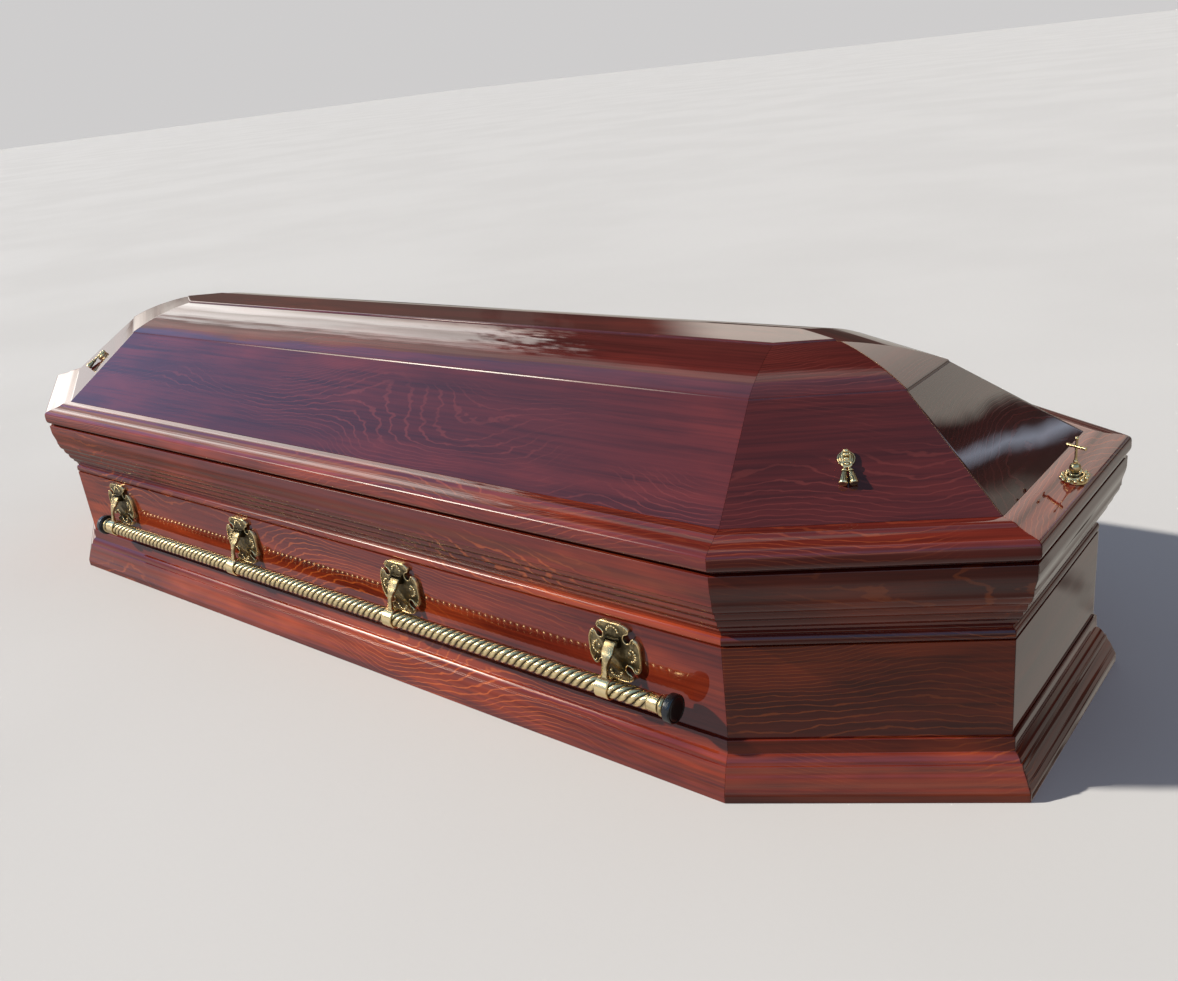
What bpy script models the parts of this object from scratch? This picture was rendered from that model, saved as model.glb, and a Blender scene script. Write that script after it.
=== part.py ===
"""Eight-sided wooden coffin with a raised lid, mouldings and swing-bar handles.

Metres, +Z up. +X points to the head end, -Y to the near long side. The origin is on the floor,
under the middle of the case. Every board is a straight length whose two ends are mitred on the
upright planes that halve the corners of the plan, so one outline serves all eight sides.

In an outline each point is (d, z): d is the distance outwards from the reference plan, so it is
negative inside it, and z is the height above the floor.
"""
import math

import bmesh
import bpy
from mathutils import Matrix, Vector

# Reference plan, measured at the foot of the base moulding
LENGTH = 2.000
WIDTH = 0.663
END_WIDTH = 0.332
CORNER_RUN = 0.283          # length of a cut corner, along X

GAP = 0.0003                # clearance between touching pieces
WELD = 0.00001              # vertices nearer than this are one

# Heights
BASE_TOP = 0.068
WALL_TOP = 0.186
RIM_TOP = 0.2885
LID_FOOT = 0.2888
FRAME_TOP = 0.3180
CREASE_Z = 0.4155
CROWN_Z = 0.4490
TOP_Z = 0.4515

# Distances outwards from the reference plan
WALL_FACE = -0.0265
BOARD = 0.020               # thickness of the wall boards
INNER_FACE = WALL_FACE - BOARD
PANEL_FOOT = -0.048
CREASE = -0.182
CROWN = -0.293
FLOOR_BOARD = 0.018
LID_BOARD = 0.018
TOP_BOARD = 0.019
TOP_WORN = 0.0022           # how far the top board's upper edge is worn

# Carrying bars
BAR_RADIUS = 0.0115
BAR_RING_RADIUS = 0.0134
BAR_CAP_RADIUS = 0.0175
BAR_Y = 0.331
BAR_Z = 0.107
BAR_HALF = 0.622            # middle of the bar to the end cap
BAR_SHIFT = 0.029           # both bars stand this far towards the head in their collars
CAP_LENGTH = 0.011
BRACKET_X = (-0.567, -0.192, 0.184, 0.5615)
COLLAR_HALF = 0.0095
COLLAR_RADIUS = 0.0138
ROUND_STEPS = 14            # sides of the round pieces

# Brackets
PIVOT_Y = 0.3135
PIVOT_Z = 0.1570
PLATE_Z = 0.1440            # middle of the back plate
PLATE_T = 0.0040
SET_IN = 0.0005             # how far the ears and the hood are sunk into the plate
KNUCKLE_R = 0.0036
KNUCKLE_HALF = 0.0080
EAR_T = 0.0022
EAR_R = 0.0041
EAR_FOOT = 0.0062           # half height of an ear at the plate
HOOD_LIFT = 0.0010          # from the knuckle to the hood
HOOD_T = 0.0030
HOOD_REACH = 0.0065
HOOD_HALF = 0.0114

# Screws on the lid
TASSEL_D = -0.1120
TASSEL_SHIFT = 0.0040       # from the middle of its board towards the end of the coffin
SCREW_D = -0.0180
CRUCIFIX_TURN = math.radians(160.0)
ROSETTE_TOP = 0.0050        # what lies lower is drawn out to an oval along the frame
ROSETTE_OVAL = (0.90, 1.28)

HALF_L = LENGTH / 2
HALF_W = WIDTH / 2
HALF_END = END_WIDTH / 2
CORNER_TURN = math.atan2(HALF_W - HALF_END, CORNER_RUN)
CORNER_NORMAL = math.pi / 2 - CORNER_TURN
CORNER_DIST = HALF_L * math.cos(CORNER_NORMAL) + HALF_END * math.sin(CORNER_NORMAL)

# Each side of the plan: the direction it faces, in radians from +X, and its distance from the middle.
# They stand in order round the plan, so a side's neighbours are the ones before and after it.
SIDES = {
    "head": (0.0, HALF_L),
    "far_head": (CORNER_NORMAL, CORNER_DIST),
    "far": (math.pi / 2, HALF_W),
    "far_foot": (math.pi - CORNER_NORMAL, CORNER_DIST),
    "foot": (math.pi, HALF_L),
    "near_foot": (math.pi + CORNER_NORMAL, CORNER_DIST),
    "near": (-math.pi / 2, HALF_W),
    "near_head": (-CORNER_NORMAL, CORNER_DIST),
}
SIDE_NAMES = list(SIDES)


def start_scene(name):
    """Empty the scene and make the collection that holds the object."""
    for old in list(bpy.data.objects):
        bpy.data.objects.remove(old, do_unlink=True)
    collection = bpy.data.collections.new(name)
    bpy.context.scene.collection.children.link(collection)
    return collection


def material(name, colour, roughness, metallic):
    """A Principled material with one colour."""
    mat = bpy.data.materials.new(name)
    mat.use_nodes = True
    shader = mat.node_tree.nodes["Principled BSDF"]
    shader.inputs["Base Color"].default_value = (*colour, 1.0)
    shader.inputs["Roughness"].default_value = roughness
    shader.inputs["Metallic"].default_value = metallic
    return mat


COLLECTION = start_scene("wooden_coffin")
WALL_WOOD = material("case_wood", (0.20, 0.035, 0.012), 0.12, 0.0)
LID_WOOD = material("lid_wood", (0.17, 0.028, 0.014), 0.10, 0.0)
INSIDE_WOOD = material("plain_wood", (0.42, 0.24, 0.12), 0.55, 0.0)
BRASS = material("old_brass", (0.52, 0.38, 0.16), 0.28, 1.0)
DARK_BRASS = material("dark_brass", (0.16, 0.11, 0.06), 0.35, 1.0)


def finish(name, bm, mat, smooth=None):
    """Turn a bmesh into a named object with one material, smooth below the given angle."""
    bmesh.ops.recalc_face_normals(bm, faces=bm.faces)
    mesh = bpy.data.meshes.new(name)
    bm.to_mesh(mesh)
    bm.free()
    mesh.materials.append(mat)
    if smooth is not None:
        mesh.shade_smooth()
        mesh.set_sharp_from_angle(angle=math.radians(smooth))
    obj = bpy.data.objects.new(name, mesh)
    COLLECTION.objects.link(obj)
    return obj


def extruded(outline, length):
    """A bmesh of a flat outline (x, y) drawn out along z, half the length to each side."""
    curve = bpy.data.curves.new("outline", "CURVE")
    curve.dimensions = "2D"
    curve.fill_mode = "BOTH"
    curve.extrude = length / 2
    spline = curve.splines.new("POLY")
    spline.points.add(len(outline) - 1)
    for point, (x, y) in zip(spline.points, outline):
        point.co = (x, y, 0.0, 1.0)
    spline.use_cyclic_u = True
    obj = bpy.data.objects.new("outline", curve)
    COLLECTION.objects.link(obj)
    bpy.context.view_layer.update()
    evaluated = obj.evaluated_get(bpy.context.evaluated_depsgraph_get())
    mesh = bpy.data.meshes.new_from_object(evaluated)
    bm = bmesh.new()
    bm.from_mesh(mesh)
    bmesh.ops.remove_doubles(bm, verts=bm.verts, dist=WELD)
    bpy.data.objects.remove(obj, do_unlink=True)
    bpy.data.curves.remove(curve)
    bpy.data.meshes.remove(mesh)
    return bm


def cut(bm, point, normal):
    """Take away what lies on the normal's side of a plane and close the cut."""
    geometry = bm.verts[:] + bm.edges[:] + bm.faces[:]
    bmesh.ops.bisect_plane(
        bm, geom=geometry, dist=WELD / 10, plane_co=point, plane_no=normal, clear_outer=True,
    )
    bmesh.ops.holes_fill(bm, edges=bm.edges, sides=0)


def side_matrix(side):
    """The place of a side: local x outwards from the plan's edge, y up, z along the side."""
    angle, distance = SIDES[side]
    outwards = Vector((math.cos(angle), math.sin(angle), 0.0))
    up = Vector((0.0, 0.0, 1.0))
    along = outwards.cross(up)
    turn = Matrix((outwards, up, along)).transposed().to_4x4()
    return Matrix.Translation(outwards * distance) @ turn


def neighbours(side, inner):
    """The sides that meet this one, with the opposite cut corner where the inside reaches the middle."""
    index = SIDE_NAMES.index(side)
    found = [SIDE_NAMES[index - 1], SIDE_NAMES[(index + 1) % len(SIDE_NAMES)]]
    if "_" in side and inner < -0.28:
        near_or_far, end = side.split("_")
        other = "far" if near_or_far == "near" else "near"
        found.append(other + "_" + end)
    return found


def mitred_length(name, side, outline, mat):
    """One length of board or moulding along a side, mitred against its neighbours."""
    bm = extruded(outline, LENGTH * 1.2)
    inner = min(d for d, _ in outline)
    angle, distance = SIDES[side]
    along = side_matrix(side).to_3x3() @ Vector((0.0, 0.0, 1.0))
    for other in neighbours(side, inner):
        other_angle, other_distance = SIDES[other]
        towards = Vector((math.cos(other_angle), math.sin(other_angle), 0.0))
        facing = math.cos(other_angle - angle)
        normal = Vector((facing - 1.0, 0.0, towards.dot(along)))
        size = normal.length
        # on the mitre plane a point is as far outside one side as outside the other
        offset = other_distance - facing * distance
        point = normal * (offset / size ** 2) - normal.normalized() * GAP / 2
        cut(bm, point, normal.normalized())
    obj = finish(name, bm, mat)
    obj.matrix_world = side_matrix(side)
    return obj


def corner(index, d):
    """Where side `index` meets the next one, both moved outwards by d."""
    a1, h1 = SIDES[SIDE_NAMES[index]]
    a2, h2 = SIDES[SIDE_NAMES[(index + 1) % len(SIDE_NAMES)]]
    det = math.sin(a2 - a1)
    x = ((h1 + d) * math.sin(a2) - (h2 + d) * math.sin(a1)) / det
    y = ((h2 + d) * math.cos(a1) - (h1 + d) * math.cos(a2)) / det
    return x, y


def ring_frame(name, outline, mat):
    """A whole mitred frame round the plan: each point of the outline goes round all the corners."""
    bm = bmesh.new()
    rows = []
    for d, z in outline:
        rows.append([bm.verts.new((*corner(index, d), z)) for index in range(len(SIDES))])
    for row, following in zip(rows, rows[1:] + rows[:1]):
        for index in range(len(SIDES)):
            after = (index + 1) % len(SIDES)
            bm.faces.new((row[index], row[after], following[after], following[index]))
    return finish(name, bm, mat)


def plan_board(name, d, low, high, mat):
    """A flat board with the outline of the plan moved in by d."""
    outline = [corner(index, d) for index in range(len(SIDES))]
    bm = extruded(outline, high - low)
    bmesh.ops.translate(bm, verts=bm.verts, vec=(0.0, 0.0, (high + low) / 2))
    return finish(name, bm, mat)


def turned(profile, steps):
    """A closed turned shape about z, from (radius, z) points that run down the outer side."""
    mesh = bpy.data.meshes.new("profile")
    verts = [(radius, 0.0, z) for radius, z in profile]
    edges = [(index, index + 1) for index in range(len(verts) - 1)]
    mesh.from_pydata(verts, edges, [])
    obj = bpy.data.objects.new("profile", mesh)
    COLLECTION.objects.link(obj)
    screw = obj.modifiers.new("turn", "SCREW")
    screw.steps = steps
    screw.render_steps = steps
    screw.use_merge_vertices = True
    screw.merge_threshold = WELD
    bpy.context.view_layer.update()
    evaluated = obj.evaluated_get(bpy.context.evaluated_depsgraph_get())
    shape = bpy.data.meshes.new_from_object(evaluated)
    bm = bmesh.new()
    bm.from_mesh(shape)
    bmesh.ops.remove_doubles(bm, verts=bm.verts, dist=WELD)
    bpy.data.objects.remove(obj, do_unlink=True)
    bpy.data.meshes.remove(mesh)
    bpy.data.meshes.remove(shape)
    return bm


def placed(bm, matrix):
    """Move a bmesh by a matrix."""
    bmesh.ops.transform(bm, matrix=matrix, verts=bm.verts)
    return bm


def union(name, shapes, mat, smooth=None):
    """Join closed bmeshes that overlap into one body."""
    first = finish(name, shapes[0], mat, smooth)
    for shape in shapes[1:]:
        tool = finish("joined", shape, mat)
        joint = first.modifiers.new("join", "BOOLEAN")
        joint.operation = "UNION"
        joint.object = tool
        bpy.context.view_layer.update()
        evaluated = first.evaluated_get(bpy.context.evaluated_depsgraph_get())
        mesh = bpy.data.meshes.new_from_object(evaluated)
        first.modifiers.clear()
        old = first.data
        first.data = mesh
        mesh.name = name
        bpy.data.meshes.remove(old)
        bpy.data.objects.remove(tool, do_unlink=True)
    if smooth is not None:
        first.data.shade_smooth()
        first.data.set_sharp_from_angle(angle=math.radians(smooth))
    return first


def box(centre, size):
    """A box as a bmesh."""
    bm = bmesh.new()
    bmesh.ops.create_cube(bm, size=1.0)
    bmesh.ops.scale(bm, vec=size, verts=bm.verts)
    bmesh.ops.translate(bm, vec=centre, verts=bm.verts)
    return bm


def arc(centre, radius, start, end, count):
    """Points on an arc, both ends included, angles in degrees."""
    points = []
    for index in range(count + 1):
        angle = math.radians(start + (end - start) * index / count)
        points.append((centre[0] + radius * math.cos(angle), centre[1] + radius * math.sin(angle)))
    return points


# The case

def wall_outline():
    """A plain board, standing on the floor inside the base moulding."""
    return [(INNER_FACE, 0.0), (WALL_FACE, 0.0), (WALL_FACE, WALL_TOP - GAP), (INNER_FACE, WALL_TOP - GAP)]


def base_outline():
    """The base moulding: a flat foot, an ogee, a bead and a flat fillet under the panel."""
    back = WALL_FACE + GAP
    foot = [(back, 0.0), (0.0, 0.0), (0.0, 0.012)]
    ogee = [(-0.0030, 0.018), (-0.0040, 0.022), (-0.0070, 0.028), (-0.0100, 0.033), (-0.0125, 0.040)]
    fillet = [(-0.0165, 0.045), (-0.0215, 0.051), (-0.0230, BASE_TOP), (back, BASE_TOP)]
    return foot + ogee + fillet


def rim_outline():
    """The rim moulding: a bead, a quirk, a cove with two fillets and a flat band under the joint."""
    bead = [(INNER_FACE, WALL_TOP), (-0.0285, WALL_TOP), (-0.0268, 0.189), (-0.0268, 0.195)]
    cove = [(-0.0310, 0.1985), (-0.0285, 0.2030), (-0.0250, 0.2085), (-0.0250, 0.2105)]
    swell = [(-0.0215, 0.2150), (-0.0165, 0.2260), (-0.0105, 0.2396), (-0.0070, 0.2460), (-0.0070, 0.2525)]
    swell += [(-0.0040, 0.2640), (-0.0030, 0.2720)]
    band = [(-0.0030, 0.2840), (-0.0110, 0.2842), (-0.0110, RIM_TOP), (INNER_FACE, RIM_TOP)]
    return bead + cove + swell + band


def floor_board():
    """The bottom of the case, between the walls."""
    return plan_board("bottom_board", INNER_FACE - GAP, 0.0, FLOOR_BOARD, INSIDE_WOOD)


# The lid

LID_SLOPE = math.atan2(CREASE_Z - FRAME_TOP, PANEL_FOOT - CREASE)
LID_INNER_FOOT = PANEL_FOOT - LID_BOARD / math.sin(LID_SLOPE)


def frame_outline():
    """The lid frame: a round nose over the joint and a nearly flat top up to the panels."""
    nose = [(-0.0030, LID_FOOT), (0.0, 0.2945), (0.0, 0.3050), (-0.0030, 0.3085), (-0.0080, 0.3110)]
    top = [(-0.0130, 0.3120), (-0.0230, 0.3135), (-0.0340, 0.3160), (-0.0400, 0.3180 - GAP)]
    return nose + top + [(LID_INNER_FOOT, FRAME_TOP - GAP), (LID_INNER_FOOT, LID_FOOT)]


def panel_outline():
    """A lid board: a straight slope to the crease, then a round shoulder up to the top board."""
    outer = [(PANEL_FOOT, FRAME_TOP), (CREASE, CREASE_Z), (-0.1840, 0.4180)]
    shoulder = [(-0.2080, 0.4285), (-0.2320, 0.4365), (-0.2580, 0.4430), (-0.2780, 0.4468), (CROWN, CROWN_Z)]
    inner = [(CROWN, CROWN_Z - LID_BOARD), (-0.1980, 0.4045), (LID_INNER_FOOT, FRAME_TOP)]
    return outer + shoulder + inner


def top_board():
    """The long six-sided board that closes the lid, with a worn edge."""
    reach = CROWN - GAP
    half = HALF_W + reach
    tip = (CORNER_DIST + reach) / math.cos(CORNER_NORMAL)
    shoulder = (CORNER_DIST + reach - half * math.sin(CORNER_NORMAL)) / math.cos(CORNER_NORMAL)
    near = [(-shoulder, -half), (shoulder, -half)]
    outline = [(tip, 0.0), (shoulder, half), (-shoulder, half), (-tip, 0.0)] + near
    bm = extruded(outline, TOP_BOARD)
    bmesh.ops.translate(bm, verts=bm.verts, vec=(0.0, 0.0, TOP_Z - TOP_BOARD / 2))
    upper = [edge for edge in bm.edges if all(vert.co.z > TOP_Z - WELD for vert in edge.verts)]
    rim = [edge for edge in upper if any(abs(face.normal.z) < 0.5 for face in edge.link_faces)]
    bmesh.ops.bevel(bm, geom=rim, offset=TOP_WORN, segments=1, profile=0.5, affect="EDGES", material=-1)
    return finish("lid_top_board", bm, LID_WOOD)


# The handles

# Stands a side view up: its x points away from the near wall, its y up and its thickness along the bar
UPRIGHT = Matrix(((0.0, 0.0, 1.0), (-1.0, 0.0, 0.0), (0.0, 1.0, 0.0))).to_4x4()

# One quarter of the back plate's outline, from its top middle to its side middle
PLATE_QUARTER = [
    (0.0000, 0.0390), (0.0160, 0.0388), (0.0215, 0.0365), (0.0240, 0.0325), (0.0225, 0.0290),
    (0.0160, 0.0250), (0.0148, 0.0210), (0.0165, 0.0168), (0.0200, 0.0150), (0.0258, 0.0180),
    (0.0300, 0.0232), (0.0352, 0.0195), (0.0378, 0.0130), (0.0388, 0.0000),
]

# An arm's half width at each depth under its pivot: broad at the knuckle, narrow in the leg
ARM_WIDTHS = [(0.0090, KNUCKLE_HALF), (0.0170, 0.0034), (0.0320, 0.0031), (0.0385, 0.0048)]


def plate_outline():
    """The four-lobed back plate, with a curled notch between the lobes."""
    quarter = PLATE_QUARTER
    right = quarter + [(x, -z) for x, z in reversed(quarter[:-1])]
    left = [(-x, z) for x, z in reversed(right[1:-1])]
    return right + left


def bracket(name, x, side):
    """A back plate with the two ears and the hood that hold the arm's knuckle."""
    face = HALF_W + WALL_FACE + GAP
    lift = Matrix.Rotation(math.radians(90.0), 4, "X")
    middle = Matrix.Translation((0.0, -(face + PLATE_T / 2), PLATE_Z))
    shapes = [placed(extruded(plate_outline(), PLATE_T), middle @ lift)]
    depth = PIVOT_Y - face - SET_IN
    reach = KNUCKLE_HALF + GAP
    ear = [(SET_IN, -EAR_FOOT)] + arc((depth, 0.0), EAR_R, -80.0, 80.0, 4) + [(SET_IN, EAR_FOOT)]
    for hand in (-1.0, 1.0):
        place = Matrix.Translation((hand * (reach + EAR_T / 2), -(face + SET_IN), PIVOT_Z)) @ UPRIGHT
        shapes.append(placed(extruded(ear, EAR_T), place))
    low = KNUCKLE_R + HOOD_LIFT
    high = low + HOOD_T
    edge = HOOD_REACH + 0.0006
    lip = [(HOOD_REACH, low), (edge, low + 0.0014), (HOOD_REACH - 0.0015, high - 0.0004)]
    hood = [(SET_IN, low)] + lip + [(SET_IN, high)]
    body = extruded(hood, 2 * HOOD_HALF)
    shapes.append(placed(body, Matrix.Translation((0.0, -(face + SET_IN), PIVOT_Z)) @ UPRIGHT))
    obj = union(name, shapes, BRASS, 40.0)
    turn = 0.0 if side == "near" else math.pi
    obj.matrix_world = Matrix.Translation((x, 0.0, 0.0)) @ Matrix.Rotation(turn, 4, "Z")
    return obj


def arm_outline():
    """The side view of an arm, (outwards, up) from the pivot: a round back that drops to the bar."""
    bar_out = BAR_Y - PIVOT_Y
    tail_z = BAR_Z - PIVOT_Z + BAR_RADIUS + 2 * GAP
    knuckle = arc((0.0, 0.0), KNUCKLE_R, 230.0, 50.0, 6)
    back = [(0.0060, -0.0008), (0.0096, -0.0066), (0.0142, -0.0136), (0.0171, -0.0212), (0.0186, -0.0292)]
    tail = [(bar_out + 0.0034, tail_z), (bar_out - 0.0018, tail_z)]
    belly = [(0.0145, -0.0280), (0.0136, -0.0216), (0.0111, -0.0158), (0.0070, -0.0102), (0.0032, -0.0052)]
    return knuckle + back + tail + belly


def arm_half_width(depth):
    """Half the width of an arm at a depth under its pivot."""
    if depth <= ARM_WIDTHS[0][0]:
        return ARM_WIDTHS[0][1]
    for (above, upper), (below, lower) in zip(ARM_WIDTHS, ARM_WIDTHS[1:]):
        if depth <= below:
            return upper + (lower - upper) * (depth - above) / (below - above)
    return ARM_WIDTHS[-1][1]


def collar():
    """The collar that grips the bar, turned about z."""
    half = COLLAR_HALF
    inner = BAR_RADIUS + GAP
    edge = COLLAR_RADIUS - 0.0012
    shoulder = half - 0.0016
    return turned([
        (inner, half), (edge, half), (COLLAR_RADIUS, shoulder), (COLLAR_RADIUS, -shoulder),
        (edge, -half), (inner, -half), (inner, half),
    ], ROUND_STEPS)


def arm(name, x, side, parent):
    """A strap arm with its knuckle at the top and its collar at the foot."""
    strap = extruded(arm_outline(), 2 * KNUCKLE_HALF)
    for vert in strap.verts:
        vert.co.z *= arm_half_width(-vert.co.y) / KNUCKLE_HALF
    lie = Matrix.Rotation(math.radians(90.0), 4, "Y")
    place = Matrix.Translation((0.0, -(BAR_Y - PIVOT_Y), BAR_Z - PIVOT_Z)) @ lie
    obj = union(name, [placed(strap, UPRIGHT), placed(collar(), place)], BRASS, 40.0)
    turn = 0.0 if side == "near" else math.pi
    obj.parent = parent
    obj.matrix_basis = Matrix.Translation((x, 0.0, 0.0)) @ Matrix.Rotation(turn, 4, "Z")
    return obj


def bar_profile():
    """One end of the bar's turned outline, (radius, distance from the middle): a groove and a ring."""
    end = BAR_HALF
    groove = BAR_RADIUS - 0.0010
    return [(BAR_RADIUS, end - 0.0110), (groove, end - 0.0095), (BAR_RING_RADIUS, end - 0.0075),
            (BAR_RING_RADIUS, end - 0.0040), (groove, end - 0.0020), (groove, end)]


def carrying_bar(name, side, parent):
    """The round bar through the four collars of one side."""
    half = bar_profile()
    lower = [(radius, -z) for radius, z in half]
    profile = [(0.0, BAR_HALF)] + list(reversed(half)) + lower + [(0.0, -BAR_HALF)]
    bm = placed(turned(profile, ROUND_STEPS), Matrix.Rotation(math.radians(90.0), 4, "Y"))
    obj = finish(name, bm, BRASS, 40.0)
    obj.parent = parent
    outwards = -1.0 if side == "near" else 1.0
    obj.matrix_basis = Matrix.Translation((BAR_SHIFT, outwards * (BAR_Y - PIVOT_Y), BAR_Z - PIVOT_Z))
    return obj


def bar_cap(name, side, end, parent):
    """The dark turned cap on one end of a bar."""
    length = CAP_LENGTH
    edge = BAR_CAP_RADIUS
    profile = [(0.0, length), (edge - 0.0030, length - 0.0006), (edge, length - 0.0030), (edge, 0.0012)]
    profile += [(edge - 0.0012, 0.0), (0.0, 0.0)]
    lie = Matrix.Rotation(math.radians(90.0 * end), 4, "Y")
    bm = placed(turned(profile, ROUND_STEPS), lie)
    obj = finish(name, bm, DARK_BRASS, 40.0)
    obj.parent = parent
    outwards = -1.0 if side == "near" else 1.0
    place = (BAR_SHIFT + end * (BAR_HALF + GAP), outwards * (BAR_Y - PIVOT_Y), BAR_Z - PIVOT_Z)
    obj.matrix_basis = Matrix.Translation(place)
    return obj


def handle(side):
    """One side's swing bar: four brackets on the wall, four arms, the bar and its caps."""
    outwards = -1.0 if side == "near" else 1.0
    hinge = bpy.data.objects.new(side + "_handle_axis", None)
    COLLECTION.objects.link(hinge)
    hinge.location = (0.0, outwards * PIVOT_Y, PIVOT_Z)
    for number, x in enumerate(BRACKET_X, start=1):
        bracket(side + "_bracket_" + str(number), x, side)
        arm(side + "_arm_" + str(number), x, side, hinge)
    carrying_bar(side + "_bar", side, hinge)
    bar_cap(side + "_bar_cap_foot", side, -1.0, hinge)
    bar_cap(side + "_bar_cap_head", side, 1.0, hinge)


# The screws on the lid

def tassel_screw(name, side):
    """A domed screw cover with a knot and two tassels that lie down the slope."""
    dome = turned([(0.0, 0.0092), (0.0046, 0.0084), (0.0082, 0.0056), (0.0098, 0.0), (0.0, 0.0)], 12)
    shapes = [dome]
    knot = turned([(0.0, 0.0058), (0.0040, 0.0044), (0.0052, 0.0), (0.0, 0.0)], 8)
    shapes.append(placed(knot, Matrix.Translation((0.0, -0.0112, 0.0))))
    tassel = [(0.0, 0.0), (0.0018, 0.0), (0.0018, -0.0050), (0.0031, -0.0070), (0.0025, -0.0090),
              (0.0046, -0.0245), (0.0, -0.0245)]
    for hand in (-1.0, 1.0):
        bell = turned(tassel, 8)
        lie = Matrix.Rotation(math.radians(-90.0), 4, "X")
        splay = Matrix.Rotation(math.radians(hand * 12.0), 4, "Z")
        place = Matrix.Translation((hand * 0.0015, -0.0105, 0.0044)) @ splay @ lie
        shapes.append(placed(bell, place))
    obj = union(name, shapes, BRASS, 40.0)
    angle, distance = SIDES[side]
    rise = math.cos(LID_SLOPE)
    outwards = Vector((math.cos(angle), math.sin(angle), 0.0))
    normal = (outwards * math.sin(LID_SLOPE) + Vector((0.0, 0.0, rise))).normalized()
    upslope = (Vector((0.0, 0.0, math.sin(LID_SLOPE))) - outwards * rise).normalized()
    across = upslope.cross(normal)
    turn = Matrix((across, upslope, normal)).transposed().to_4x4()
    # near the middle of the board at this height, between its two mitres
    towards_end = 1.0 if side in ("near_head", "far_foot") else -1.0
    shift = panel_middle(side, TASSEL_D) + towards_end * TASSEL_SHIFT
    height = FRAME_TOP + (PANEL_FOOT - TASSEL_D) * math.tan(LID_SLOPE)
    foot = outwards * (distance + TASSEL_D) + Vector((-outwards.y, outwards.x, 0.0)) * shift
    place = Vector((foot.x, foot.y, height)) + normal * GAP
    obj.matrix_world = Matrix.Translation(place) @ turn
    return obj


def panel_middle(side, d):
    """How far along its side, counter-clockwise, the middle of a board lies at d."""
    index = SIDE_NAMES.index(side)
    angle, _ = SIDES[side]
    along = Vector((-math.sin(angle), math.cos(angle)))
    first = Vector(corner(index - 1, d))
    second = Vector(corner(index, d))
    return ((first + second) / 2).dot(along)


def crucifix_screw(name, end):
    """A turned rosette and ball with a small plain cross, its foot cut to the slope of the lid frame."""
    cross = [(0.0, 0.0196), (0.0020, 0.0190), (0.0044, 0.0166), (0.0063, 0.0118), (0.0046, 0.0074)]
    foot = [(0.0036, 0.0062), (0.0090, 0.0056), (0.0100, 0.0042), (0.0160, 0.0032), (0.0168, 0.0016)]
    shapes = [turned(cross + foot + [(0.0168, -0.0080), (0.0, -0.0080)], ROUND_STEPS)]
    stem = [(0.0, 0.0480), (0.0023, 0.0458), (0.0015, 0.0438), (0.0016, 0.0180), (0.0, 0.0180)]
    shapes.append(turned(stem, 8))
    crossbar = [(0.0, 0.0120), (0.0019, 0.0118)]
    crossbar += [(radius, -z) for radius, z in reversed(crossbar)]
    lie = Matrix.Translation((0.0, 0.0, 0.0363)) @ Matrix.Rotation(math.radians(90.0), 4, "Y")
    shapes.append(placed(turned(crossbar, 8), lie))
    obj = union(name, shapes, BRASS, 40.0)
    turn = CRUCIFIX_TURN if end > 0 else math.pi + CRUCIFIX_TURN
    whole = bmesh.new()
    whole.from_mesh(obj.data)
    placed(whole, Matrix.Rotation(turn, 4, "Z"))
    for vert in whole.verts:
        if vert.co.z < ROSETTE_TOP:
            vert.co.x *= ROSETTE_OVAL[0]
            vert.co.y *= ROSETTE_OVAL[1]
    # the frame's top, from the back of its nose to the foot of its fillet
    low_d, low_z = frame_outline()[4]
    high_d, high_z = frame_outline()[7]
    slope = (high_z - low_z) / (high_d - low_d)
    base = low_z + (SCREW_D - low_d) * slope + GAP
    downhill = Vector((-end * slope, 0.0, 1.0)).normalized()
    cut(whole, Vector((0.0, 0.0, 0.0)), -downhill)
    whole.to_mesh(obj.data)
    whole.free()
    obj.matrix_world = Matrix.Translation((end * (HALF_L + SCREW_D), 0.0, base))
    return obj


def main():
    for side in SIDE_NAMES:
        mitred_length("wall_board_" + side, side, wall_outline(), WALL_WOOD)
        mitred_length("rim_moulding_" + side, side, rim_outline(), WALL_WOOD)
        mitred_length("lid_panel_" + side, side, panel_outline(), LID_WOOD)
    floor_board()
    ring_frame("base_moulding", base_outline(), WALL_WOOD)
    ring_frame("lid_frame", frame_outline(), LID_WOOD)
    top_board()
    for side in ("near", "far"):
        handle(side)
    for side in SIDE_NAMES:
        if "_" in side:
            tassel_screw("tassel_screw_" + side, side)
    crucifix_screw("crucifix_screw_head", 1.0)
    crucifix_screw("crucifix_screw_foot", -1.0)


main()
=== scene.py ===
"""The wooden coffin as it is seen: lacquered boards and mouldings, twisted bars and cast brass.

Metres, +Z up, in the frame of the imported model: +X is the head end, -Y the near long side and the
origin lies on the floor under the middle of the case. Every board runs along one side of an
eight-sided plan. In an outline a point is (d, z): d is the distance outwards from the plan's edge,
negative inside it, and z is the height above the floor.
"""
import logging
import math
from dataclasses import dataclass
from enum import Enum
from typing import Iterable, Sequence

import bmesh
import bpy
from mathutils import Matrix, Vector


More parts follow.
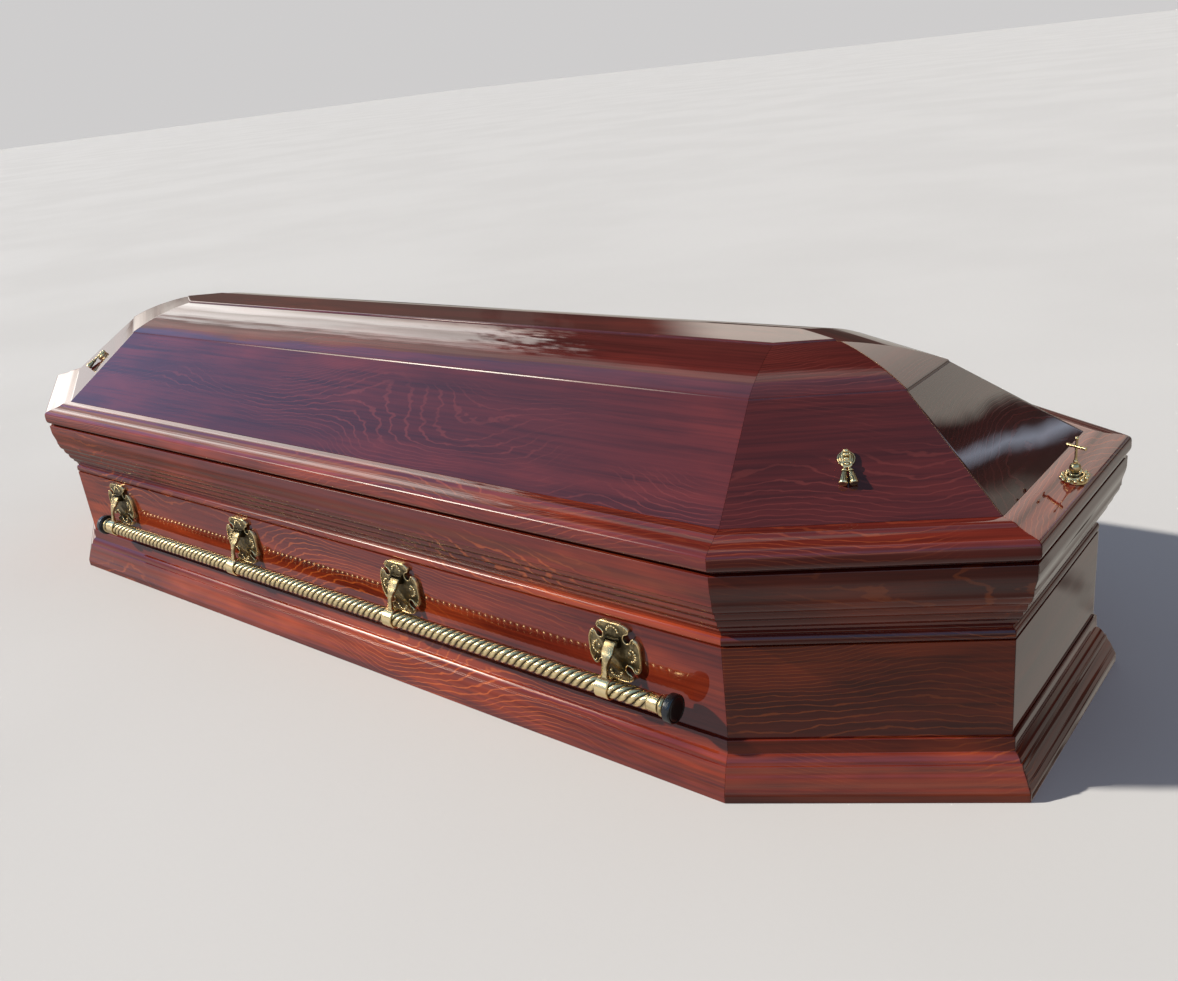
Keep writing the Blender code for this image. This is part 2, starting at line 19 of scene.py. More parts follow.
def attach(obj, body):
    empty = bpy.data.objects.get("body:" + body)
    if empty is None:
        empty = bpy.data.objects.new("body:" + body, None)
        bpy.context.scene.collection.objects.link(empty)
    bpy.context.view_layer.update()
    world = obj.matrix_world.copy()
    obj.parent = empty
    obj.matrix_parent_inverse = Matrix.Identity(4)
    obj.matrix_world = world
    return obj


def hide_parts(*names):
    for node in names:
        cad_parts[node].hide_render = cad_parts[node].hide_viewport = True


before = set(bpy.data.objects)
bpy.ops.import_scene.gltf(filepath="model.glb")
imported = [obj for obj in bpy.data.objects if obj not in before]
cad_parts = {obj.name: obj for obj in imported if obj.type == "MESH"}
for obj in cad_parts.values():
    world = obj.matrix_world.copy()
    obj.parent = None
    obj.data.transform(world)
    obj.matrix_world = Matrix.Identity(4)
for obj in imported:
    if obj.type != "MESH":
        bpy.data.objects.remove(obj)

LOG = logging.getLogger("coffin")
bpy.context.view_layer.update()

Point = tuple[float, float]
IMAGE_WIDTH, IMAGE_HEIGHT = 1178, 981


class Side(Enum):
    """The eight sides of the plan, in order round it."""

    HEAD = "head"
    FAR_HEAD = "far_head"
    FAR = "far"
    FAR_FOOT = "far_foot"
    FOOT = "foot"
    NEAR_FOOT = "near_foot"
    NEAR = "near"
    NEAR_HEAD = "near_head"


class Hand(Enum):
    """The two long sides that carry a bar, with the direction each one faces along Y."""

    NEAR = -1.0
    FAR = 1.0


class Slot(Enum):
    """The finishes that the record names."""

    CASE = "case_wood"
    LID = "lid_wood"
    PLAIN = "plain_wood"
    BRASS = "old_brass"
    CAP = "black_cap"


# Shader graphs


class Graph:
    """A node tree with short calls to add and link its nodes."""

    def __init__(self, tree: bpy.types.NodeTree) -> None:
        """Take the tree that the nodes are added to."""
        self.tree = tree

    def node(self, kind: str, **settings: object) -> bpy.types.Node:
        """Add a node.

        Args:
            kind: the node's type, without the ShaderNode prefix.
            settings: properties of the node.

        Returns:
            The new node.
        """
        made = self.tree.nodes.new("ShaderNode" + kind)
        for name, value in settings.items():
            setattr(made, name, value)
        return made

    def feed(self, socket: bpy.types.NodeSocket, value: object) -> None:
        """Link a socket to an output, or give it a fixed value."""
        if isinstance(value, bpy.types.NodeSocket):
            self.tree.links.new(value, socket)
        else:
            socket.default_value = value

    def math(self, operation: str, first: object, second: object = 0.0, third: object = 0.0) -> bpy.types.NodeSocket:
        """Add a Math node and return its output."""
        made = self.node("Math", operation=operation)
        for socket, value in zip(made.inputs, (first, second, third)):
            self.feed(socket, value)
        return made.outputs[0]

    def stretch(self, vector: object, scale: Sequence[float], shift: Sequence[float] = (0.0, 0.0, 0.0)) -> bpy.types.NodeSocket:
        """Scale and shift a coordinate with a Mapping node."""
        made = self.node("Mapping")
        self.feed(made.inputs["Vector"], vector)
        made.inputs["Scale"].default_value = scale
        made.inputs["Location"].default_value = shift
        return made.outputs[0]

    def noise(self, vector: object, scale: float, detail: float = 2.0, roughness: float = 0.5) -> bpy.types.NodeSocket:
        """Add a Noise texture and return its value."""
        made = self.node("TexNoise")
        self.feed(made.inputs["Vector"], vector)
        made.inputs["Scale"].default_value = scale
        made.inputs["Detail"].default_value = detail
        made.inputs["Roughness"].default_value = roughness
        return made.outputs["Fac"]

    def ramp(self, value: object, low: float, high: float, start: float = 0.0, end: float = 1.0) -> bpy.types.NodeSocket:
        """Map a value smoothly from low..high to start..end, and clamp it."""
        made = self.node("MapRange", interpolation_type="SMOOTHSTEP")
        for name, number in zip(("Value", "From Min", "From Max", "To Min", "To Max"), (value, low, high, start, end)):
            self.feed(made.inputs[name], number)
        return made.outputs[0]

    def mix(self, share: object, first: object, second: object, blend: str = "MIX") -> bpy.types.NodeSocket:
        """Mix two colours and return the result."""
        made = self.node("Mix", data_type="RGBA", blend_type=blend)
        self.feed(made.inputs[0], share)
        self.feed(made.inputs[6], first)
        self.feed(made.inputs[7], second)
        return made.outputs[2]

    def group(self, tree: bpy.types.NodeTree, **values: object) -> bpy.types.Node:
        """Place a node group with its own values."""
        made = self.node("Group")
        made.node_tree = tree
        for name, value in values.items():
            self.feed(made.inputs[name.replace("_", " ")], value)
        return made


def new_group(name: str, inputs: dict[str, tuple[str, object]], outputs: dict[str, str]) -> tuple[Graph, bpy.types.Node, bpy.types.Node]:
    """Make an empty shader node group.

    Args:
        name: the group's name.
        inputs: for each input its kind, Vector, Float or Color, and its value where nothing is linked.
        outputs: for each output its kind.

    Returns:
        The graph, and its input and output nodes.
    """
    tree = bpy.data.node_groups.new(name, "ShaderNodeTree")
    for label, (kind, value) in inputs.items():
        socket = tree.interface.new_socket(label, in_out="INPUT", socket_type="NodeSocket" + kind)
        if kind != "Vector":
            socket.default_value = value
    for label, kind in outputs.items():
        tree.interface.new_socket(label, in_out="OUTPUT", socket_type="NodeSocket" + kind)
    graph = Graph(tree)
    return graph, tree.nodes.new("NodeGroupInput"), tree.nodes.new("NodeGroupOutput")


def wood_figure_group() -> bpy.types.NodeTree:
    """Make the group that draws the figure of a peeled veneer.

    Returns:
        The group. Its Vector runs along the board in x and across it in y, in metres. It puts out the
        fine Streaks, the contour Lines of the figure, the broad Clouds and a Height for bump.
    """
    graph, given, out = new_group(
        "wood_figure",
        {"Vector": ("Vector", None), "Line Count": ("Float", 75.0)},
        {"Streaks": "Float", "Lines": "Float", "Clouds": "Float", "Height": "Float"},
    )
    along = given.outputs["Vector"]
    fine = graph.noise(graph.stretch(along, (5.0, 190.0, 1.0)), 1.0, 6.0, 0.6)
    broad = graph.noise(graph.stretch(along, (1.6, 36.0, 1.0), (3.1, 0.4, 0.0)), 1.0, 3.0, 0.5)
    streaks = graph.math("ADD", graph.math("MULTIPLY", fine, 0.55), graph.math("MULTIPLY", broad, 0.45))
    across = graph.node("SeparateXYZ")
    graph.feed(across.inputs[0], along)
    field = graph.noise(graph.stretch(along, (2.6, 4.4, 1.0), (0.7, 1.9, 0.0)), 1.0, 1.2, 0.4)
    ripple = graph.noise(graph.stretch(along, (30.0, 70.0, 1.0)), 1.0, 2.0, 0.5)
    bent = graph.math("ADD", graph.math("MULTIPLY", field, 0.20), graph.math("MULTIPLY", ripple, 0.007))
    place = graph.math("MULTIPLY_ADD", across.outputs["Y"], 0.7, bent)
    wave = graph.math("SINE", graph.math("MULTIPLY", place, graph.math("MULTIPLY", given.outputs["Line Count"], math.tau)))
    thin = graph.ramp(wave, 0.70, 1.0)
    fade = graph.ramp(graph.noise(graph.stretch(along, (1.9, 5.0, 1.0), (5.3, 2.2, 0.0)), 1.0, 3.0), 0.46, 0.64)
    lines = graph.math("MULTIPLY", thin, fade)
    clouds = graph.noise(graph.stretch(along, (2.2, 7.5, 1.0), (8.0, 4.0, 0.0)), 1.0, 4.0, 0.6)
    height = graph.math("SUBTRACT", graph.math("MULTIPLY", fine, 0.6), graph.math("MULTIPLY", lines, 0.4))
    for name, value in (("Streaks", streaks), ("Lines", lines), ("Clouds", clouds), ("Height", height)):
        graph.feed(out.inputs[name], value)
    return graph.tree


def lacquer_group() -> bpy.types.NodeTree:
    """Make the group for the lacquer's own surface.

    Returns:
        The group. It puts out a Roughness with faint smears and a Height of slow ripples.
    """
    graph, given, out = new_group(
        "lacquer_film",
        {"Vector": ("Vector", None), "Polish": ("Float", 0.05)},
        {"Roughness": "Float", "Height": "Float"},
    )
    along = given.outputs["Vector"]
    smears = graph.noise(graph.stretch(along, (9.0, 14.0, 9.0)), 1.0, 4.0, 0.6)
    rough = graph.math("ADD", given.outputs["Polish"], graph.ramp(smears, 0.5, 0.75, 0.0, 0.035))
    ripples = graph.noise(graph.stretch(along, (7.0, 18.0, 7.0)), 1.0, 1.0, 0.4)
    graph.feed(out.inputs["Roughness"], rough)
    graph.feed(out.inputs["Height"], ripples)
    return graph.tree


def patina_group() -> bpy.types.NodeTree:
    """Make the group for brass that has darkened in its hollows and is rubbed bright on its ridges.

    Returns:
        The group. Wear is 0 in a hollow and 1 on a ridge. It puts out Rubbed, the share of bright
        metal, a Roughness and a Height for bump.
    """
    graph, given, out = new_group(
        "brass_patina",
        {"Vector": ("Vector", None), "Wear": ("Float", 0.5), "Polish": ("Float", 0.2)},
        {"Rubbed": "Float", "Roughness": "Float", "Height": "Float"},
    )
    spots = graph.noise(given.outputs["Vector"], 160.0, 4.0, 0.6)
    grime = graph.noise(given.outputs["Vector"], 900.0, 3.0, 0.6)
    edge = graph.math("ADD", given.outputs["Wear"], graph.math("MULTIPLY", graph.math("SUBTRACT", spots, 0.5), 0.35))
    rubbed = graph.ramp(edge, 0.30, 0.72)
    dull = graph.math("MULTIPLY", graph.math("SUBTRACT", 1.0, rubbed), 0.22)
    rough = graph.math("ADD", given.outputs["Polish"], graph.math("ADD", dull, graph.math("MULTIPLY", grime, 0.10)))
    graph.feed(out.inputs["Rubbed"], rubbed)
    graph.feed(out.inputs["Roughness"], rough)
    graph.feed(out.inputs["Height"], grime)
    return graph.tree


# Finishes


@dataclass(frozen=True)
class Shared:
    """The node groups that more than one finish places."""

    figure: bpy.types.NodeTree
    lacquer: bpy.types.NodeTree
    patina: bpy.types.NodeTree


def empty_material(name: str) -> tuple[bpy.types.Material, Graph, bpy.types.Node]:
    """Make a material with a lone Principled shader.

    Args:
        name: the material's name.

    Returns:
        The material, its graph and the shader.
    """
    made = bpy.data.materials.new(name)
    made.use_nodes = True
    return made, Graph(made.node_tree), made.node_tree.nodes["Principled BSDF"]


def relief(graph: Graph, shader: bpy.types.Node, height: object, depth: float) -> None:
    """Feed the shader's normal from a height.

    Args:
        graph: the material's graph.
        shader: its Principled shader.
        height: the height, from 0 to about 1.
        depth: what a height of 1 means, in metres.
    """
    bump = graph.node("Bump")
    bump.inputs["Strength"].default_value = 1.0
    bump.inputs["Distance"].default_value = depth
    graph.feed(bump.inputs["Height"], height)
    graph.feed(shader.inputs["Normal"], bump.outputs[0])


@dataclass(frozen=True)
class StainedWood:
    """Veneered board under a dark red stain and a deep gloss lacquer."""

    name: str
    dark: tuple[float, float, float, float]
    middle: tuple[float, float, float, float]
    bright: tuple[float, float, float, float]
    lines: tuple[float, float, float, float]
    line_share: float = 0.42
    line_count: float = 75.0
    polish: float = 0.03

    def make(self, shared: Shared) -> bpy.types.Material:
        """Build the material from the shared groups."""
        made, graph, shader = empty_material(self.name)
        along = graph.node("UVMap").outputs[0]
        figure = graph.group(shared.figure, Vector=along, Line_Count=self.line_count)
        film = graph.group(shared.lacquer, Vector=along, Polish=self.polish)
        streaked = graph.mix(graph.ramp(figure.outputs["Streaks"], 0.30, 0.68), self.dark, self.middle)
        glow = graph.ramp(figure.outputs["Clouds"], 0.46, 0.74, 0.0, 0.9)
        warm = graph.mix(graph.math("MULTIPLY", glow, graph.ramp(figure.outputs["Streaks"], 0.25, 0.60)), streaked, self.bright)
        drawn = graph.mix(graph.math("MULTIPLY", figure.outputs["Lines"], self.line_share), warm, self.lines)
        graph.feed(shader.inputs["Base Color"], drawn)
        graph.feed(shader.inputs["Roughness"], film.outputs["Roughness"])
        grained = graph.math("ADD", film.outputs["Height"], graph.math("MULTIPLY", figure.outputs["Height"], 0.02))
        relief(graph, shader, grained, 0.00022)
        shader.inputs["IOR"].default_value = 1.42
        return made


@dataclass(frozen=True)
class PlainWood:
    """Bare sawn board, for the inside of the case and lid."""

    name: str
    pale: tuple[float, float, float, float] = (0.52, 0.35, 0.19, 1.0)
    dark: tuple[float, float, float, float] = (0.36, 0.21, 0.10, 1.0)

    def make(self, shared: Shared) -> bpy.types.Material:
        """Build the material; the figure runs along the case."""
        made, graph, shader = empty_material(self.name)
        place = graph.node("TexCoord").outputs["Object"]
        turned_up = graph.stretch(place, (1.0, 1.0, 0.35))
        figure = graph.group(shared.figure, Vector=turned_up, Line_Count=30.0)
        streaked = graph.mix(graph.ramp(figure.outputs["Streaks"], 0.35, 0.65), self.dark, self.pale)
        graph.feed(shader.inputs["Base Color"], graph.mix(graph.math("MULTIPLY", figure.outputs["Lines"], 0.5), streaked, self.dark))
        graph.feed(shader.inputs["Roughness"], graph.ramp(figure.outputs["Streaks"], 0.3, 0.7, 0.72, 0.55))
        relief(graph, shader, figure.outputs["Height"], 0.0002)
        return made


@dataclass(frozen=True)
class AgedMetal:
    """Cast brass with a dark patina, rubbed bright on its ridges."""

    name: str
    rubbed: tuple[float, float, float, float]
    hollow: tuple[float, float, float, float]
    polish: float = 0.16
    metallic: float = 1.0

    def make(self, shared: Shared) -> bpy.types.Material:
        """Build the material from the wear that each piece carries."""
        made, graph, shader = empty_material(self.name)
        place = graph.node("TexCoord").outputs["Object"]
        wear = graph.node("Attribute", attribute_name="wear").outputs["Fac"]
        patina = graph.group(shared.patina, Vector=place, Wear=wear, Polish=self.polish)
        graph.feed(shader.inputs["Base Color"], graph.mix(patina.outputs["Rubbed"], self.hollow, self.rubbed))
        graph.feed(shader.inputs["Roughness"], patina.outputs["Roughness"])
        shader.inputs["Metallic"].default_value = self.metallic
        relief(graph, shader, patina.outputs["Height"], 0.00005)
        return made


@dataclass(frozen=True)
class StudioFloor:
    """Pale matt paint, a little uneven."""

    name: str = "pale_floor"
    pale: tuple[float, float, float, float] = (0.560, 0.555, 0.545, 1.0)
    shade: tuple[float, float, float, float] = (0.535, 0.530, 0.520, 1.0)

    def make(self) -> bpy.types.Material:
        """Build the material."""
        made, graph, shader = empty_material(self.name)
        place = graph.node("TexCoord").outputs["Object"]
        cloud = graph.noise(place, 0.8, 3.0)
        graph.feed(shader.inputs["Base Color"], graph.mix(graph.ramp(cloud, 0.35, 0.65), self.shade, self.pale))
        graph.feed(shader.inputs["Roughness"], graph.ramp(cloud, 0.3, 0.7, 0.85, 0.75))
        shader.inputs["Specular IOR Level"].default_value = 0.2
        return made


# The plan


@dataclass(frozen=True)
class Plan:
    """The eight-sided plan at the foot of the base moulding, and its sides."""

    length: float = 2.000
    width: float = 0.663
    end_width: float = 0.332
    corner_run: float = 0.283
    gap: float = 0.0003

    @property
    def corner_normal(self) -> float:
        """The direction that a cut corner faces, in radians from the long axis."""
        return math.pi / 2 - math.atan2((self.width - self.end_width) / 2, self.corner_run)

    @property
    def corner_distance(self) -> float:
        """How far a cut corner's side lies from the middle."""
        turn = self.corner_normal
        return self.length / 2 * math.cos(turn) + self.end_width / 2 * math.sin(turn)

    def side(self, side: Side) -> tuple[float, float]:
        """The direction that a side faces, in radians, and its distance from the middle."""
        turn, away = self.corner_normal, self.corner_distance
        long, wide = self.length / 2, self.width / 2
        table = {
            Side.HEAD: (0.0, long), Side.FAR_HEAD: (turn, away), Side.FAR: (math.pi / 2, wide),
            Side.FAR_FOOT: (math.pi - turn, away), Side.FOOT: (math.pi, long),
            Side.NEAR_FOOT: (math.pi + turn, away), Side.NEAR: (-math.pi / 2, wide), Side.NEAR_HEAD: (-turn, away),
        }
        return table[side]

    def outwards(self, side: Side) -> Vector:
        """The unit vector that a side faces."""
        angle, _ = self.side(side)
        return Vector((math.cos(angle), math.sin(angle), 0.0))

    def place(self, side: Side) -> Matrix:
        """The place of a side: local x outwards from the plan's edge, y up, z along it."""
        out, up = self.outwards(side), Vector((0.0, 0.0, 1.0))
        turn = Matrix((out, up, out.cross(up))).transposed().to_4x4()
        return Matrix.Translation(out * self.side(side)[1]) @ turn

    def beside(self, side: Side) -> tuple[Side, Side]:
        """The sides before and after this one."""
        order = list(Side)
        index = order.index(side)
        return order[index - 1], order[(index + 1) % len(order)]

    def mitre(self, side: Side, other: Side) -> tuple[Vector, Vector, float]:
        """The upright plane that halves the corner between two sides.

        Args:
            side: the side whose local frame is used.
            other: the side that it meets.

        Returns:
            A point of the plane, its unit normal towards the other side, and half the corner's turn.
        """
        along = self.place(side).to_3x3() @ Vector((0.0, 0.0, 1.0))
        facing = self.outwards(side).dot(self.outwards(other))
        normal = Vector((facing - 1.0, 0.0, self.outwards(other).dot(along)))
        offset = self.side(other)[1] - facing * self.side(side)[1]
        point = normal * (offset / normal.length_squared)
        return point, normal.normalized(), math.acos(facing) / 2

    def corner(self, index: int, d: float) -> Point:
        """Where a side and the next one meet, both moved outwards by d."""
        order = list(Side)
        a1, h1 = self.side(order[index])
        a2, h2 = self.side(order[(index + 1) % len(order)])
        det = math.sin(a2 - a1)
        x = ((h1 + d) * math.sin(a2) - (h2 + d) * math.sin(a1)) / det
        y = ((h2 + d) * math.cos(a1) - (h1 + d) * math.cos(a2)) / det
        return x, y


PLAN = Plan()


# Outlines


def smooth_run(points: Sequence[Point], steps: int = 4) -> list[Point]:
    """Points on a soft curve through the given ones.

    Args:
        points: what the curve passes through.
        steps: how many pieces each length is cut into.

    Returns:
        The points of the curve, both ends included.
    """
    found = [points[0]]
    for index in range(len(points) - 1):
        p1, p2 = Vector(points[index]), Vector(points[index + 1])
        p0 = Vector(points[index - 1]) if index else p1 * 2 - p2
        p3 = Vector(points[index + 2]) if index + 2 < len(points) else p2 * 2 - p1
        for step in range(1, steps + 1):
            t = step / steps
            at = 0.5 * (2 * p1 + (p2 - p0) * t + (2 * p0 - 5 * p1 + 4 * p2 - p3) * t ** 2 + (3 * p1 - p0 - 3 * p2 + p3) * t ** 3)
            found.append((at.x, at.y))
    return found


def soften(points: Sequence[Point], radius: float, steps: int = 3) -> list[Point]:
    """Round the hard corners of a closed outline.

    Args:
        points: the outline.
        radius: how far from a corner the rounding starts, in metres.
        steps: how many pieces each rounding has.

    Returns:
        The softened outline, with a point close to each end of its long straight parts.
    """
    found: list[Point] = []
    count = len(points)
    for index in range(count):
        before, here, after = (Vector(points[(index + k) % count]) for k in (-1, 0, 1))
        into, out = here - before, after - here
        turn = into.angle(out) if into.length and out.length else 0.0
        reach = min(radius, into.length * 0.45, out.length * 0.45)
        start, end = here - into.normalized() * reach, here + out.normalized() * reach
        if turn > math.radians(28.0) and reach > 0.0001:
            ring = []
            for step in range(steps + 1):
                t = step / steps
                at = start * (1 - t) ** 2 + here * 2 * t * (1 - t) + end * t ** 2
                ring.append((at.x, at.y))
            found += ring
        else:
            found.append((here.x, here.y))
    return held(found)


def held(points: Sequence[Point], reach: float = 0.0012) -> list[Point]:
    """Add a point near each end of the long straight parts, which keeps them flat when shaded smooth."""
    found: list[Point] = []
    for index, here in enumerate(points):
        start, end = Vector(here), Vector(points[(index + 1) % len(points)])
        length = (end - start).length
        found.append(here)
        if length > 4 * reach:
            for share in (reach / length, 1 - reach / length):
                at = start.lerp(end, share)
                found.append((at.x, at.y))
    return found


# Meshes


def merge_close(bm: bmesh.types.BMesh, reach: float = 0.000005) -> None:
    """Weld vertices that lie on each other."""
    bmesh.ops.remove_doubles(bm, verts=bm.verts, dist=reach)


def stamp_wear(bm: bmesh.types.BMesh, gain: float = 1.6, flat: float = 0.42) -> None:
    """Give each vertex its wear, from how far it stands out from its neighbours.

    Args:
        bm: the mesh, closed and with its normals outwards.
        gain: how strongly a ridge or hollow shows.
        flat: the wear of a flat surface.
    """
    layer = bm.verts.layers.float.new("wear")
    bm.normal_update()
    raw = {}
    for vert in bm.verts:
        tips = [(edge.other_vert(vert).co - vert.co).normalized() for edge in vert.link_edges if edge.calc_length() > 1e-7]
        raw[vert] = -sum(tip.dot(vert.normal) for tip in tips) / max(len(tips), 1)
    for vert in bm.verts:
        around = [raw[edge.other_vert(vert)] for edge in vert.link_edges]
        level = 0.5 * raw[vert] + 0.5 * sum(around) / max(len(around), 1)
        vert[layer] = min(1.0, max(0.0, flat + gain * level))


class Maker:
    """Turns finished bmeshes into pieces of the object."""

    def __init__(self, materials: dict[Slot, bpy.types.Material]) -> None:
        """Take the materials by slot."""
        self.materials = materials
        self.made = 0

    def piece(
        self, name: str, bm: bmesh.types.BMesh, slot: Slot, body: str, stands_for: Sequence[str],
        sharp: float = 32.0, inside: bool = False,
    ) -> bpy.types.Object:
        """Make one piece, dress it and set it on its body.

        Args:
            name: the piece's name.
            bm: its mesh, in the row frame; it is freed.
            slot: its finish.
            body: the body that it moves with.
            stands_for: the nodes that it takes the place of.
            sharp: edges steeper than this, in degrees, stay crisp.
            inside: whether faces of the second material show bare wood.

        Returns:
            The piece's object.
        """
        bm.normal_update()
        mesh = bpy.data.meshes.new(name)
        bm.to_mesh(mesh)
        bm.free()
        mesh.materials.append(self.materials[slot])
        if inside:
            mesh.materials.append(self.materials[Slot.PLAIN])
        mesh.shade_smooth()
        mesh.set_sharp_from_angle(angle=math.radians(sharp))
        obj = bpy.data.objects.new(name, mesh)
        bpy.context.scene.collection.objects.link(obj)
        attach(obj, body)
        if stands_for:
            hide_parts(*stands_for)
        self.made += 1
        LOG.info("%s: %d faces on %s", name, len(mesh.polygons), body)
        return obj


def joined(shapes: Iterable[bmesh.types.BMesh]) -> bmesh.types.BMesh:
    """Put several bmeshes into one and free them."""
    whole = bmesh.new()
    for shape in shapes:
        mesh = bpy.data.meshes.new("part")
        shape.to_mesh(mesh)
        shape.free()
        whole.from_mesh(mesh)
        bpy.data.meshes.remove(mesh)
    return whole


def moved(bm: bmesh.types.BMesh, matrix: Matrix) -> bmesh.types.BMesh:
    """Move a bmesh by a matrix and return it."""
    bmesh.ops.transform(bm, matrix=matrix, verts=bm.verts)
    return bm


def outline_face(points: Sequence[Point]) -> bmesh.types.BMesh:
    """A bmesh with one flat face that has the outline (x, y)."""
    bm = bmesh.new()
    bm.faces.new([bm.verts.new((x, y, 0.0)) for x, y in points])
    return bm


def drawn_out(points: Sequence[Point], low: float, high: float) -> bmesh.types.BMesh:
    """A flat outline (x, y) extruded along z from low to high, closed."""
    bm = outline_face(points)
    bmesh.ops.translate(bm, verts=bm.verts, vec=(0.0, 0.0, low))
    made = bmesh.ops.extrude_face_region(bm, geom=bm.faces[:])
    tops = [item for item in made["geom"] if isinstance(item, bmesh.types.BMVert)]
    bmesh.ops.translate(bm, verts=tops, vec=(0.0, 0.0, high - low))
    bmesh.ops.recalc_face_normals(bm, faces=bm.faces)
    return bm


def turned(profile: Sequence[Point], steps: int = 24) -> bmesh.types.BMesh:
    """A closed turned shape about z, from (radius, z) points that run down the outer side."""
    bm = bmesh.new()
    verts = [bm.verts.new((radius, 0.0, z)) for radius, z in profile]
    edges = [bm.edges.new(pair) for pair in zip(verts, verts[1:])]
    bmesh.ops.spin(
        bm, geom=verts + edges, axis=(0.0, 0.0, 1.0), cent=(0.0, 0.0, 0.0), angle=math.tau, steps=steps, use_merge=True,
    )
    merge_close(bm)
    bmesh.ops.recalc_face_normals(bm, faces=bm.faces)
    return bm


def ball(centre: Sequence[float], radius: float, detail: int = 2) -> bmesh.types.BMesh:
    """A round bead."""
    bm = bmesh.new()
    bmesh.ops.create_icosphere(bm, subdivisions=detail, radius=radius)
    bmesh.ops.translate(bm, verts=bm.verts, vec=centre)
    return bm


def tube(path: Sequence[Vector], radii: Sequence[float], steps: int = 8, closed: bool = False) -> bmesh.types.BMesh:
    """A round tube along a path, closed at its ends or into a loop.

    Args:
        path: the points of its middle line.
        radii: its radius at each of them.
        steps: sides of the tube.
        closed: whether it runs back to its start.

    Returns:
        The tube as a bmesh.
    """
    bm = bmesh.new()
    rings = []
    count = len(path)
    for index, (at, radius) in enumerate(zip(path, radii)):
        before = path[index - 1] if index or closed else at
        after = path[(index + 1) % count] if index + 1 < count or closed else at
        turn = (after - before).to_track_quat("Z", "Y").to_matrix().to_4x4()
        ring = bmesh.ops.create_circle(bm, segments=steps, radius=radius, matrix=Matrix.Translation(at) @ turn)["verts"]
        rings.append([edge for edge in bm.edges if edge.verts[0] in ring and edge.verts[1] in ring])
    pairs = list(zip(rings, rings[1:])) + ([(rings[-1], rings[0])] if closed else [])
    for first, second in pairs:
        bmesh.ops.bridge_loops(bm, edges=first + second)
    if not closed:
        bmesh.ops.holes_fill(bm, edges=bm.edges, sides=0)
    bmesh.ops.recalc_face_normals(bm, faces=bm.faces)
    return bm


# Lengths of wood


